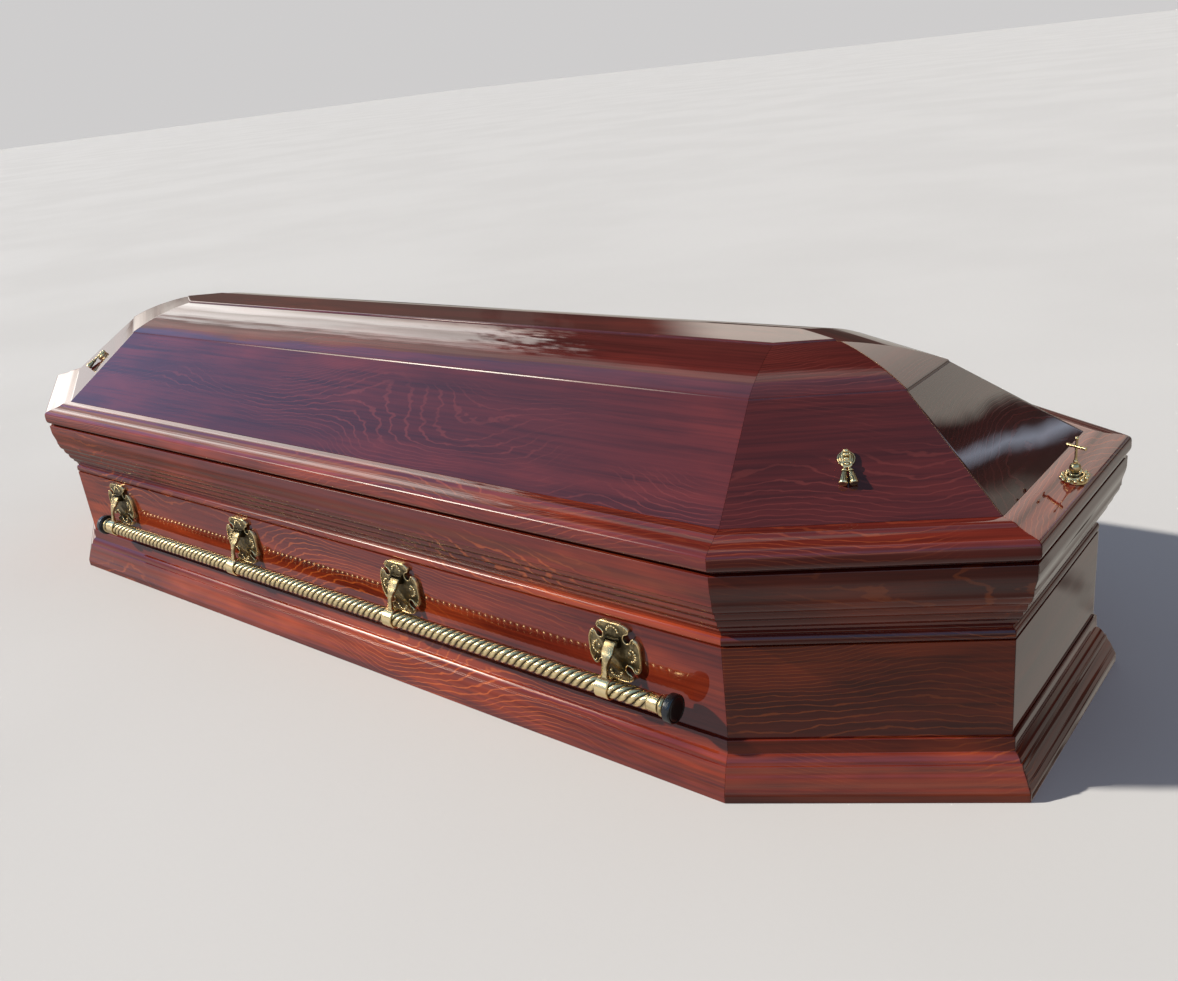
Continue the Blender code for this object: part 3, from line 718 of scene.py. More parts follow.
@dataclass(frozen=True)
class Length:
    """One outline that runs along sides of the plan, mitred at the corners."""

    outline: tuple[Point, ...]
    rounding: float = 0.0016
    bare_from: float = -1.0
    third_cut: bool = False

    def __post_init__(self) -> None:
        """Check that the outline has more than three points."""
        assert len(self.outline) > 3

    def board(self, side: Side, seed: int) -> bmesh.types.BMesh:
        """Make the length of one side.

        Args:
            side: the side that it runs along.
            seed: which stretch of veneer it shows.

        Returns:
            The length in the row frame, with a UV map along the board and round its outline, in metres.
        """
        reach = PLAN.length * 0.6
        bm = bmesh.new()
        verts = [bm.verts.new((d, z, -reach)) for d, z in self.outline]
        edges = [bm.edges.new((verts[index], verts[(index + 1) % len(verts)])) for index in range(len(verts))]
        girth = [0.0]
        for edge in edges:
            girth.append(girth[-1] + edge.calc_length())
        made = bmesh.ops.extrude_edge_only(bm, edges=edges)
        ends = [item for item in made["geom"] if isinstance(item, bmesh.types.BMVert)]
        bmesh.ops.translate(bm, verts=ends, vec=(0.0, 0.0, 2 * reach))
        self._map(bm, verts, girth, seed)
        bmesh.ops.recalc_face_normals(bm, faces=bm.faces)
        for other in PLAN.beside(side):
            self._round_end(bm, side, other)
        if self.third_cut and "_" in side.value:
            near_or_far, end = side.value.split("_")
            across = Side(("far_" if near_or_far == "near" else "near_") + end)
            point, normal, _ = PLAN.mitre(side, across)
            self._cut(bm, point - normal * PLAN.gap / 2, normal)
        bmesh.ops.recalc_face_normals(bm, faces=bm.faces)
        for face in bm.faces:
            middle = face.calc_center_median()
            inwards = face.normal.x < -0.35 or (face.normal.y < -0.5 and middle.x < self.bare_from)
            if middle.x < self.bare_from and inwards:
                face.material_index = 1
        return moved(bm, PLAN.place(side))

    def _map(self, bm: bmesh.types.BMesh, start: list, girth: list[float], seed: int) -> None:
        """Lay the UV map: u along the board, v round its outline."""
        layer = bm.loops.layers.uv.new("grain")
        count = len(start)
        where = {(round(v.co.x, 7), round(v.co.y, 7)): index for index, v in enumerate(start)}
        u0, v0 = seed * 3.71, seed * 1.37
        for face in bm.faces:
            rows = {where[(round(loop.vert.co.x, 7), round(loop.vert.co.y, 7))] for loop in face.loops}
            last = rows == {0, count - 1}
            for loop in face.loops:
                index = where[(round(loop.vert.co.x, 7), round(loop.vert.co.y, 7))]
                v = girth[count] if last and index == 0 else girth[index]
                loop[layer].uv = (loop.vert.co.z + u0, v + v0)

    def _cut(self, bm: bmesh.types.BMesh, point: Vector, normal: Vector) -> None:
        """Take away what lies past a plane and close the end."""
        geometry = bm.verts[:] + bm.edges[:] + bm.faces[:]
        bmesh.ops.bisect_plane(bm, geom=geometry, dist=1e-6, plane_co=point, plane_no=normal, clear_outer=True)
        open_edges = [edge for edge in bm.edges if edge.is_boundary and all(abs((v.co - point).dot(normal)) < 1e-5 for v in edge.verts)]
        bmesh.ops.holes_fill(bm, edges=open_edges, sides=0)

    def _round_end(self, bm: bmesh.types.BMesh, side: Side, other: Side) -> None:
        """Cut one end on its mitre, with the outer arris rounded over together with its neighbour's."""
        point, normal, half = PLAN.mitre(side, other)
        point = point - normal * PLAN.gap / 2
        tangent = self.rounding * math.tan(half)
        steps = 3 if half > 0.4 else 2
        swept = [self.rounding * math.sin(half * k / steps) for k in range(steps + 1)]
        for run in (tangent - swept[-1], *(tangent - s for s in swept[-2::-1]), tangent + 0.003):
            at = point - normal * (run * abs(normal.z))
            if run == tangent - swept[-1]:
                self._cut(bm, at, normal)
            else:
                geometry = bm.verts[:] + bm.edges[:] + bm.faces[:]
                bmesh.ops.bisect_plane(bm, geom=geometry, dist=1e-6, plane_co=at, plane_no=normal)
        for vert in bm.verts:
            inside = -(vert.co - point).dot(normal) / abs(normal.z)
            past = tangent - inside
            if past > 1e-7:
                vert.co.x -= self.rounding - math.sqrt(max(self.rounding ** 2 - past ** 2, 0.0))


class Profiles:
    """The outlines of the woodwork, measured on the photograph."""

    @staticmethod
    def wall() -> Length:
        """The plain wall boards, standing on the floor inside the base moulding."""
        points = [(-0.0465, 0.0), (-0.0265, 0.0), (-0.0265, 0.1857), (-0.0465, 0.1857)]
        return Length(tuple(held(points)), bare_from=-0.0460)

    @staticmethod
    def base() -> Length:
        """The base moulding: a flat foot, an ogee with a bead and a flat fillet."""
        foot = [(-0.0262, 0.0), (0.0, 0.0)]
        sweep = smooth_run([
            (0.0, 0.0100), (-0.0008, 0.0132), (-0.0030, 0.0180), (-0.0046, 0.0225), (-0.0070, 0.0280),
            (-0.0098, 0.0335), (-0.0118, 0.0400),
        ])
        cove = smooth_run([(-0.0138, 0.0408), (-0.0158, 0.0450), (-0.0190, 0.0490), (-0.0222, 0.0510)])
        return Length(tuple(soften(foot + sweep + cove + [(-0.0230, 0.0680), (-0.0262, 0.0680)], 0.0009)))

    @staticmethod
    def reed(low: Point, high: Point, swell: float, steps: int = 6) -> list[Point]:
        """Points over one round reed, which stands out by swell between its two edges."""
        start, end = Vector(low), Vector(high)
        out = Vector((end.y - start.y, start.x - end.x)).normalized()
        found = []
        for step in range(steps + 1):
            at = start.lerp(end, step / steps) + out * swell * math.sin(math.pi * step / steps)
            found.append((at.x, at.y))
        return found

    @staticmethod
    def rim() -> Length:
        """The rim moulding: a bead, a cove between fillets, three rising reeds and the band under the joint."""
        bead = [(-0.0465, 0.1860), (-0.0290, 0.1860)] + smooth_run([
            (-0.0278, 0.1868), (-0.0266, 0.1890), (-0.0263, 0.1920), (-0.0268, 0.1950), (-0.0286, 0.1974), (-0.0310, 0.1985),
        ])
        cove = smooth_run([(-0.0304, 0.1993), (-0.0292, 0.2030), (-0.0270, 0.2062), (-0.0250, 0.2078)])
        swell = [(-0.0246, 0.2106)]
        for low, high in (((-0.0240, 0.2116), (-0.0190, 0.2214)), ((-0.0190, 0.2224), (-0.0136, 0.2328)), ((-0.0136, 0.2338), (-0.0080, 0.2450))):
            swell += Profiles.reed(low, high, 0.0014)
        upper = smooth_run([(-0.0070, 0.2462), (-0.0068, 0.2525), (-0.0058, 0.2575), (-0.0042, 0.2635), (-0.0031, 0.2700), (-0.0030, 0.2770)])
        band = [(-0.0030, 0.2840), (-0.0110, 0.2842), (-0.0110, 0.2885), (-0.0465, 0.2885)]
        return Length(tuple(soften(bead + cove + swell + upper + band, 0.0009)), bare_from=-0.0460)

    @staticmethod
    def lid_frame() -> Length:
        """The lid frame: a round nose over the joint, a shallow hollow and a bead at the panels' foot."""
        nose = smooth_run([
            (-0.0032, 0.2888), (-0.0012, 0.2908), (0.0, 0.2945), (0.0, 0.3000), (-0.0004, 0.3050), (-0.0020, 0.3078),
            (-0.0050, 0.3098),
        ])
        hollow = smooth_run([(-0.0080, 0.3106), (-0.0130, 0.3117), (-0.0180, 0.3124), (-0.0230, 0.3134), (-0.0290, 0.3150)])
        bead = smooth_run([(-0.0310, 0.3162), (-0.0340, 0.3172), (-0.0380, 0.3177), (-0.0440, 0.3177)])
        return Length(tuple(soften(nose + hollow + bead + [(-0.0786, 0.3177), (-0.0786, 0.2888)], 0.0009)), rounding=0.0022, bare_from=-0.0782)

    @staticmethod
    def lid_panel() -> Length:
        """The lid boards: a straight slope, a small raised crease and a round shoulder up to the top."""
        slope = [(-0.0480, 0.3180), (-0.1815, 0.41515)]
        shoulder = smooth_run([
            (-0.1826, 0.4168), (-0.1850, 0.4186), (-0.2080, 0.4285), (-0.2320, 0.4365), (-0.2580, 0.4430),
            (-0.2780, 0.4468), (-0.2930, 0.4490),
        ])
        inner = [(-0.2930, 0.4310), (-0.1980, 0.4045), (-0.0786, 0.3180)]
        points = [slope[0], *slope[1:], *shoulder, *inner]
        return Length(tuple(held(points)), rounding=0.0022, bare_from=-0.0790, third_cut=True)


class Woodwork:
    """The case and the lid: boards, mouldings, bottom and top."""

    def __init__(self, maker: Maker, frame_stain: bpy.types.Material) -> None:
        """Take the maker that dresses the pieces, and the stain of the lid frame."""
        self.maker = maker
        self.frame_stain = frame_stain

    def boards(self, name: str, node: str, length: Length, slot: Slot, first_seed: int, bare: bool) -> None:
        """Make one board for each side of the plan.

        Args:
            name: what the pieces' names start with.
            node: what their nodes' names start with.
            length: the outline.
            slot: the finish.
            first_seed: the veneer of the first side.
            bare: whether the inside is bare wood.
        """
        for number, side in enumerate(Side):
            bm = length.board(side, first_seed + number)
            self.maker.piece(f"{name}_{side.value}", bm, slot, "coffin", [f"{node}_{side.value}"], inside=bare)

    def ring(self, name: str, node: str, length: Length, slot: Slot, first_seed: int) -> bpy.types.Object:
        """Make one frame from the lengths of all eight sides.

        Args:
            name: the piece's name.
            node: the node that it takes the place of.
            length: the outline.
            slot: the finish.
            first_seed: the veneer of the first side.

        Returns:
            The frame's object.
        """
        lengths = [length.board(side, first_seed + number) for number, side in enumerate(Side)]
        return self.maker.piece(name, joined(lengths), slot, "coffin", [node], inside=length.bare_from > -1.0)

    def bottom(self) -> None:
        """Dress the bottom board, whose own shape is right."""
        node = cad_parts["bottom_board"]
        node.data.materials.clear()
        node.data.materials.append(self.maker.materials[Slot.PLAIN])

    def top(self, reach: float = -0.2933, high: float = 0.4515, thickness: float = 0.0190, soft: float = 0.0026) -> None:
        """Make the long six-sided board that closes the lid.

        Args:
            reach: its edge, outwards from the plan.
            high: its upper face above the floor.
            thickness: its thickness.
            soft: how far its upper edge is rounded.
        """
        away, turn = PLAN.corner_distance + reach, PLAN.corner_normal
        half = PLAN.width / 2 + reach
        tip, shoulder = away / math.cos(turn), (away - half * math.sin(turn)) / math.cos(turn)
        outline = [(tip, 0.0), (shoulder, half), (-shoulder, half), (-tip, 0.0), (-shoulder, -half), (shoulder, -half)]
        bm = drawn_out(outline, high - thickness, high)
        rim = [edge for edge in bm.edges if all(v.co.z > high - 1e-5 for v in edge.verts)]
        bmesh.ops.bevel(bm, geom=rim, offset=soft, offset_type="OFFSET", segments=4, profile=0.5, affect="EDGES", material=-1)
        face = max((f for f in bm.faces if f.normal.z > 0.99), key=lambda f: f.calc_area())
        bmesh.ops.inset_region(bm, faces=[face], thickness=0.002, depth=0.0)
        layer = bm.loops.layers.uv.new("grain")
        for face in bm.faces:
            for loop in face.loops:
                loop[layer].uv = (loop.vert.co.x + 91.0, loop.vert.co.y + loop.vert.co.z + 40.0)
        self.maker.piece("top_wood", bm, Slot.LID, "coffin", ["lid_top_board"])

    def build(self) -> None:
        """Build the whole of the woodwork."""
        self.boards("wall_wood", "wall_board", Profiles.wall(), Slot.CASE, 0, True)
        self.boards("rim_wood", "rim_moulding", Profiles.rim(), Slot.CASE, 10, True)
        self.boards("lid_wood", "lid_panel", Profiles.lid_panel(), Slot.LID, 20, True)
        self.ring("base_wood", "base_moulding", Profiles.base(), Slot.CASE, 30)
        lid_frame = self.ring("lid_frame_wood", "lid_frame", Profiles.lid_frame(), Slot.LID, 40)
        lid_frame.data.materials[0] = self.frame_stain
        self.bottom()
        self.top()


# Handles


LYING = Matrix.Rotation(math.radians(90.0), 4, "Y")
# stands a side view up: its x points away from the near wall, its y up, its thickness along the bar
UPRIGHT = Matrix(((0.0, 0.0, 1.0), (-1.0, 0.0, 0.0), (0.0, 1.0, 0.0))).to_4x4()
# stands a front view on the near wall: its x along the wall, its y up, its z away from the wall
FRONTAL = Matrix(((1.0, 0.0, 0.0), (0.0, 0.0, -1.0), (0.0, 1.0, 0.0))).to_4x4()


def arc(centre: Point, radius: float, start: float, end: float, count: int) -> list[Point]:
    """Points on an arc, both ends included, angles in degrees."""
    found = []
    for index in range(count + 1):
        angle = math.radians(start + (end - start) * index / count)
        found.append((centre[0] + radius * math.cos(angle), centre[1] + radius * math.sin(angle)))
    return found


@dataclass(frozen=True)
class TwistBar:
    """A carrying bar with a rope twist between plain ends, and a dark cap on each end."""

    radius: float = 0.0115
    groove: float = 0.0019
    starts: int = 5
    lead: float = 0.058
    half: float = 0.622
    plain: float = 0.025
    ring: float = 0.0134
    cap_radius: float = 0.0175
    cap_length: float = 0.011
    around: int = 50
    pitch: float = 0.0022

    def twisted(self) -> bmesh.types.BMesh:
        """The twisted length, lying along x about the bar's middle.

        Returns:
            The bar with its wear from how far each point lies up its ridge.
        """
        bm = bmesh.new()
        reach = self.half - self.plain
        count = round(2 * reach / self.pitch)
        step = 2 * reach / count
        turn = Matrix.Rotation(-math.tau * step / self.lead, 4, "X")
        ring = bmesh.ops.create_circle(bm, segments=self.around, radius=1.0, matrix=Matrix.Translation((-reach, 0.0, 0.0)) @ LYING)["verts"]
        for number, vert in enumerate(ring):
            across = vert.co.yz.normalized() * self.size_at(number)
            vert.co = (-reach, across.x, across.y)
        edges = bm.edges[:]
        for _ in range(count):
            made = bmesh.ops.extrude_edge_only(bm, edges=edges)["geom"]
            verts = [item for item in made if isinstance(item, bmesh.types.BMVert)]
            edges = [item for item in made if isinstance(item, bmesh.types.BMEdge)]
            bmesh.ops.transform(bm, matrix=Matrix.Translation((step, 0.0, 0.0)) @ turn, verts=verts)
        layer = bm.verts.layers.float.new("wear")
        for vert in bm.verts:
            size = vert.co.yz.length
            fade = min(1.0, (reach - abs(vert.co.x)) / 0.004)
            vert[layer] = 0.24 + 0.46 * (1.0 - (self.radius - size) / self.groove) if fade > 0.3 else 0.5
            share = (self.radius - (self.radius - size) * fade) / size
            vert.co.y *= share
            vert.co.z *= share
        bmesh.ops.holes_fill(bm, edges=[edge for edge in bm.edges if edge.is_boundary], sides=0)
        bmesh.ops.recalc_face_normals(bm, faces=bm.faces)
        return bm

    def size_at(self, number: int) -> float:
        """How far from the middle the bar's surface lies at one of the points round it."""
        lobe = abs(math.sin(math.pi * self.starts * number / self.around))
        return self.radius - self.groove * (1.0 - lobe ** 0.7)

    def end(self) -> bmesh.types.BMesh:
        """The plain end of the bar, turned, with its groove and ring, pointing along x."""
        start, stop = self.half - self.plain - 0.0005, self.half
        neck = self.radius - 0.0010
        profile = [(0.0, stop), (neck, stop), (neck, stop - 0.0020)]
        profile += smooth_run([
            (neck, stop - 0.0022), (self.ring - 0.0008, stop - 0.0032), (self.ring, stop - 0.0057),
            (self.ring - 0.0008, stop - 0.0082), (neck, stop - 0.0092),
        ], 3)
        profile += [(neck, stop - 0.0102), (self.radius, stop - 0.0110), (self.radius, start + 0.0010), (self.radius - 0.0006, start), (0.0, start)]
        bm = turned(profile, 40)
        stamp_wear(bm, 1.2)
        return moved(bm, LYING)

    def cap(self) -> bmesh.types.BMesh:
        """The cap: a short drum with a stepped, slightly domed face, pointing along x."""
        long, wide = self.cap_length, self.cap_radius
        face = smooth_run([(0.0, long), (wide * 0.35, long - 0.0001), (wide * 0.70, long - 0.0006), (wide * 0.80, long - 0.0012)], 3)
        rim = smooth_run([
            (wide * 0.83, long - 0.0010), (wide - 0.0014, long - 0.0008), (wide - 0.0003, long - 0.0020), (wide, long - 0.0040),
            (wide, 0.0022), (wide - 0.0004, 0.0008), (wide - 0.0014, 0.0),
        ], 3)
        bm = turned(face + rim + [(0.0, 0.0)], 48)
        stamp_wear(bm, 1.2)
        return moved(bm, LYING)


@dataclass(frozen=True)
class Bracket:
    """A cast back plate with pierced corners, a raised lip and beads, and the ears and hood that hold an arm."""

    face: float = 0.3053
    plate_z: float = 0.1440
    pivot_y: float = 0.3135
    pivot_z: float = 0.1570
    thickness: float = 0.0040
    knuckle: float = 0.0036
    knuckle_half: float = 0.0083
    ear: float = 0.0022
    hood_half: float = 0.0114
    hood_reach: float = 0.0065
    lip: float = 0.0010
    hood_lip: float = 0.0013
    bead: float = 0.0018
    quarter: tuple[Point, ...] = (
        (0.0000, 0.0390), (0.0080, 0.0392), (0.0160, 0.0388), (0.0215, 0.0365), (0.0240, 0.0325), (0.0225, 0.0290),
        (0.0190, 0.0275), (0.0160, 0.0250), (0.0148, 0.0210), (0.0165, 0.0168), (0.0200, 0.0150), (0.0235, 0.0158),
        (0.0258, 0.0180), (0.0275, 0.0212), (0.0300, 0.0232), (0.0330, 0.0222), (0.0352, 0.0195), (0.0378, 0.0130),
        (0.0386, 0.0060), (0.0388, 0.0000),
    )

    def outline(self, steps: int = 2) -> list[Point]:
        """The plate's whole outline, from its top middle, softened between its points."""
        quarter = smooth_run(self.quarter, steps)
        right = quarter + [(x, -z) for x, z in reversed(quarter[:-1])]
        return right + [(-x, z) for x, z in reversed(right[1:-1])]

    def plate(self) -> list[bmesh.types.BMesh]:
        """The plate with its raised lip, beads, ovals and curls, in the front view."""
        outline = self.outline()
        body = drawn_out(outline, 0.0, self.thickness)
        rim = [edge for edge in body.edges if all(v.co.z > self.thickness - 1e-6 for v in edge.verts)]
        bmesh.ops.bevel(body, geom=rim, offset=0.0005, segments=2, profile=0.5, affect="EDGES", material=-1)
        inset = [Vector((x * 0.965, y * 0.970, self.thickness)) for x, y in outline]
        shapes = [body, tube(inset, [self.lip] * len(inset), 8, closed=True)]
        for hand in (-1.0, 1.0):
            for x, y in arc((0.0, hand * 0.0258), 0.0082, hand * 12.0, hand * 168.0, 6):
                shapes.append(ball((x, y, self.thickness + 0.0002), self.bead))
            turn = 0.0 if hand > 0 else 180.0
            for x, y in arc((hand * 0.0235, 0.0), 0.0080, turn - 78.0, turn + 78.0, 6):
                shapes.append(ball((x, y, self.thickness + 0.0002), self.bead))
            oval = ball((0.0, 0.0, 0.0), 1.0, 3)
            shapes.append(moved(oval, Matrix.Translation((hand * 0.0225, 0.0, self.thickness)) @ Matrix.Diagonal((0.0027, 0.0043, 0.0018, 1.0))))
            for up in (-1.0, 1.0):
                shapes += self.curls(hand, up)
        return shapes

    def curls(self, hand: float, up: float) -> list[bmesh.types.BMesh]:
        """The two curls beside one pierced corner, mirrored by the two signs."""
        shapes = []
        for centre, radius, start, end in (((0.0196, 0.0330), 0.0024, -70.0, 210.0), ((0.0312, 0.0172), 0.0026, -60.0, 200.0)):
            path = [Vector((x * hand, y * up, self.thickness)) for x, y in arc(centre, radius, start, end, 12)]
            sizes = [0.0009 * (0.6 + 0.4 * math.sin(math.pi * index / 12)) for index in range(13)]
            shapes.append(tube(path, sizes, 6))
        return shapes

    def ears(self) -> list[bmesh.types.BMesh]:
        """The two ears beside the knuckle and the hood with its bright lip, in the side view."""
        depth = self.pivot_y - self.face
        shapes = []
        for hand in (-1.0, 1.0):
            ear = drawn_out([(0.0005, -0.0062), *arc((depth, 0.0), self.knuckle + 0.0005, -80.0, 80.0, 10), (0.0005, 0.0062)], 0.0, self.ear)
            edges = [edge for edge in ear.edges if abs(edge.verts[0].co.z - edge.verts[1].co.z) < 1e-6]
            bmesh.ops.bevel(ear, geom=edges, offset=0.0006, segments=2, profile=0.5, affect="EDGES", material=-1)
            moved(ear, Matrix.Translation((0.0, 0.0, hand * self.knuckle_half)) @ Matrix.Diagonal((1.0, 1.0, hand, 1.0)))
            bmesh.ops.recalc_face_normals(ear, faces=ear.faces)
            shapes.append(ear)
        low, reach = self.knuckle + 0.0010, self.hood_reach
        hood = soften([(0.0005, low), (reach, low), (reach + 0.0006, low + 0.0014), (0.0050, low + 0.0026), (0.0005, low + 0.0030)], 0.0005)
        shapes.append(drawn_out(hood, -self.hood_half + 0.0006, self.hood_half - 0.0006))
        waves = [(-1.0, 0.0010), (-0.85, 0.0014), (-0.6, 0.0002), (-0.2, 0.0), (0.2, 0.0), (0.6, 0.0002), (0.85, 0.0014), (1.0, 0.0010)]
        path = [Vector((reach + 0.0002, low + 0.0012 + rise, share * self.hood_half)) for share, rise in smooth_run(waves, 3)]
        shapes.append(tube(path, [self.hood_lip] * len(path), 8))
        return shapes

    def make(self, x: float, hand: Hand) -> bmesh.types.BMesh:
        """The whole bracket in the row frame."""
        shapes = [moved(part, Matrix.Translation((0.0, -self.face, self.plate_z)) @ FRONTAL) for part in self.plate()]
        shapes += [moved(part, Matrix.Translation((0.0, -self.face, self.pivot_z)) @ UPRIGHT) for part in self.ears()]
        whole = joined(shapes)
        stamp_wear(whole, gain=2.2, flat=0.22)
        turn = 0.0 if hand is Hand.NEAR else math.pi
        return moved(whole, Matrix.Translation((x, 0.0, 0.0)) @ Matrix.Rotation(turn, 4, "Z"))


@dataclass(frozen=True)
class Arm:
    """A strap arm, broad at its knuckle and narrow in its leg, that grips the bar with a collar."""

    pivot_y: float = 0.3135
    pivot_z: float = 0.1570
    bar_y: float = 0.3310
    bar_z: float = 0.1070
    bar_radius: float = 0.0115
    collar_radius: float = 0.0138
    collar_half: float = 0.0095
    knuckle: float = 0.0036
    widths: tuple[Point, ...] = (
        (-0.0100, 0.0080), (0.0060, 0.0080), (0.0100, 0.0077), (0.0140, 0.0053), (0.0175, 0.0036), (0.0220, 0.0031), (0.0300, 0.0031),
        (0.0345, 0.0037), (0.0385, 0.0052),
    )

    def half_width(self, depth: float) -> float:
        """Half the arm's width at a depth under its pivot."""
        for (above, upper), (below, lower) in zip(self.widths, self.widths[1:]):
            if depth <= below:
                return upper + (lower - upper) * (depth - above) / (below - above)
        return self.widths[-1][1]

    def strap(self) -> bmesh.types.BMesh:
        """The strap in the side view, from the knuckle down to the collar."""
        out, low = self.bar_y - self.pivot_y, self.bar_z - self.pivot_z + self.bar_radius + 0.0006
        back = smooth_run([(0.0060, -0.0008), (0.0096, -0.0066), (0.0142, -0.0136), (0.0171, -0.0212), (0.0186, -0.0292), (out + 0.0034, low)], 5)
        belly = smooth_run([(out - 0.0018, low), (0.0145, -0.0280), (0.0136, -0.0216), (0.0111, -0.0158), (0.0070, -0.0102), (0.0032, -0.0052)], 5)
        outline = arc((0.0, 0.0), self.knuckle, 230.0, 50.0, 10) + back + belly
        bm = drawn_out(outline, -1.0, 1.0)
        for vert in bm.verts:
            vert.co.z *= self.half_width(-vert.co.y)
        rim = [edge for edge in bm.edges if edge.verts[0].co.z * edge.verts[1].co.z > 0.0]
        bmesh.ops.bevel(bm, geom=rim, offset=0.0008, segments=3, profile=0.5, affect="EDGES", material=-1)
        return moved(bm, UPRIGHT)

    def collar(self) -> bmesh.types.BMesh:
        """The collar round the bar, a plain band with soft edges."""
        half, wide, inner = self.collar_half, self.collar_radius, self.bar_radius + 0.0003
        outer = smooth_run([
            (wide - 0.0012, half), (wide - 0.0003, half - 0.0005), (wide, half - 0.0016), (wide, 0.0),
            (wide, -half + 0.0016), (wide - 0.0003, -half + 0.0005), (wide - 0.0012, -half),
        ], 3)
        bm = turned([(inner, half), *outer, (inner, -half), (inner, half)], 40)
        place = Matrix.Translation((0.0, -(self.bar_y - self.pivot_y), self.bar_z - self.pivot_z))
        return moved(bm, place @ LYING)

    def make(self, x: float, hand: Hand) -> bmesh.types.BMesh:
        """The whole arm in the row frame."""
        whole = joined([self.strap(), self.collar()])
        stamp_wear(whole, flat=0.66)
        turn = 0.0 if hand is Hand.NEAR else math.pi
        pivot = Matrix.Translation((0.0, -self.pivot_y, self.pivot_z))
        return moved(whole, Matrix.Translation((x, 0.0, 0.0)) @ Matrix.Rotation(turn, 4, "Z") @ pivot)


@dataclass(frozen=True)
class Handle:
    """One side's swing bar: four brackets, four arms, the bar and its caps."""

    hand: Hand
    places: tuple[float, ...] = (-0.567, -0.192, 0.184, 0.5615)
    shift: float = 0.029
    bracket: Bracket = Bracket()
    arm: Arm = Arm()
    bar: TwistBar = TwistBar()

    def build(self, maker: Maker) -> None:
        """Make every piece of the handle."""
        side = self.hand.name.lower()
        body = side + "_handle"
        for number, x in enumerate(self.places, start=1):
            maker.piece(f"{side}_cast_plate_{number}", self.bracket.make(x, self.hand), Slot.BRASS, "coffin", [f"{side}_bracket_{number}"], sharp=50.0)
            maker.piece(f"{side}_cast_arm_{number}", self.arm.make(x, self.hand), Slot.BRASS, body, [f"{side}_arm_{number}"], sharp=45.0)
        middle = Matrix.Translation((self.shift, self.hand.value * self.arm.bar_y, self.arm.bar_z))
        mirror = Matrix.Diagonal((-1.0, 1.0, 1.0, 1.0))
        twisted = self.bar.twisted()
        ends = [self.bar.end(), moved(self.bar.end(), mirror)]
        bmesh.ops.reverse_faces(ends[1], faces=ends[1].faces)
        maker.piece(f"{side}_twist_bar", moved(joined([twisted, *ends]), middle), Slot.BRASS, body, [f"{side}_bar"], sharp=50.0)
        for end, name in ((1.0, "head"), (-1.0, "foot")):
            cap = moved(self.bar.cap(), Matrix.Translation((self.bar.half + 0.0003, 0.0, 0.0)))
            if end < 0:
                moved(cap, mirror)
                bmesh.ops.reverse_faces(cap, faces=cap.faces)
            maker.piece(f"{side}_end_cap_{name}", moved(cap, middle), Slot.CAP, body, [f"{side}_bar_cap_{name}"], sharp=40.0)


# The screws on the lid


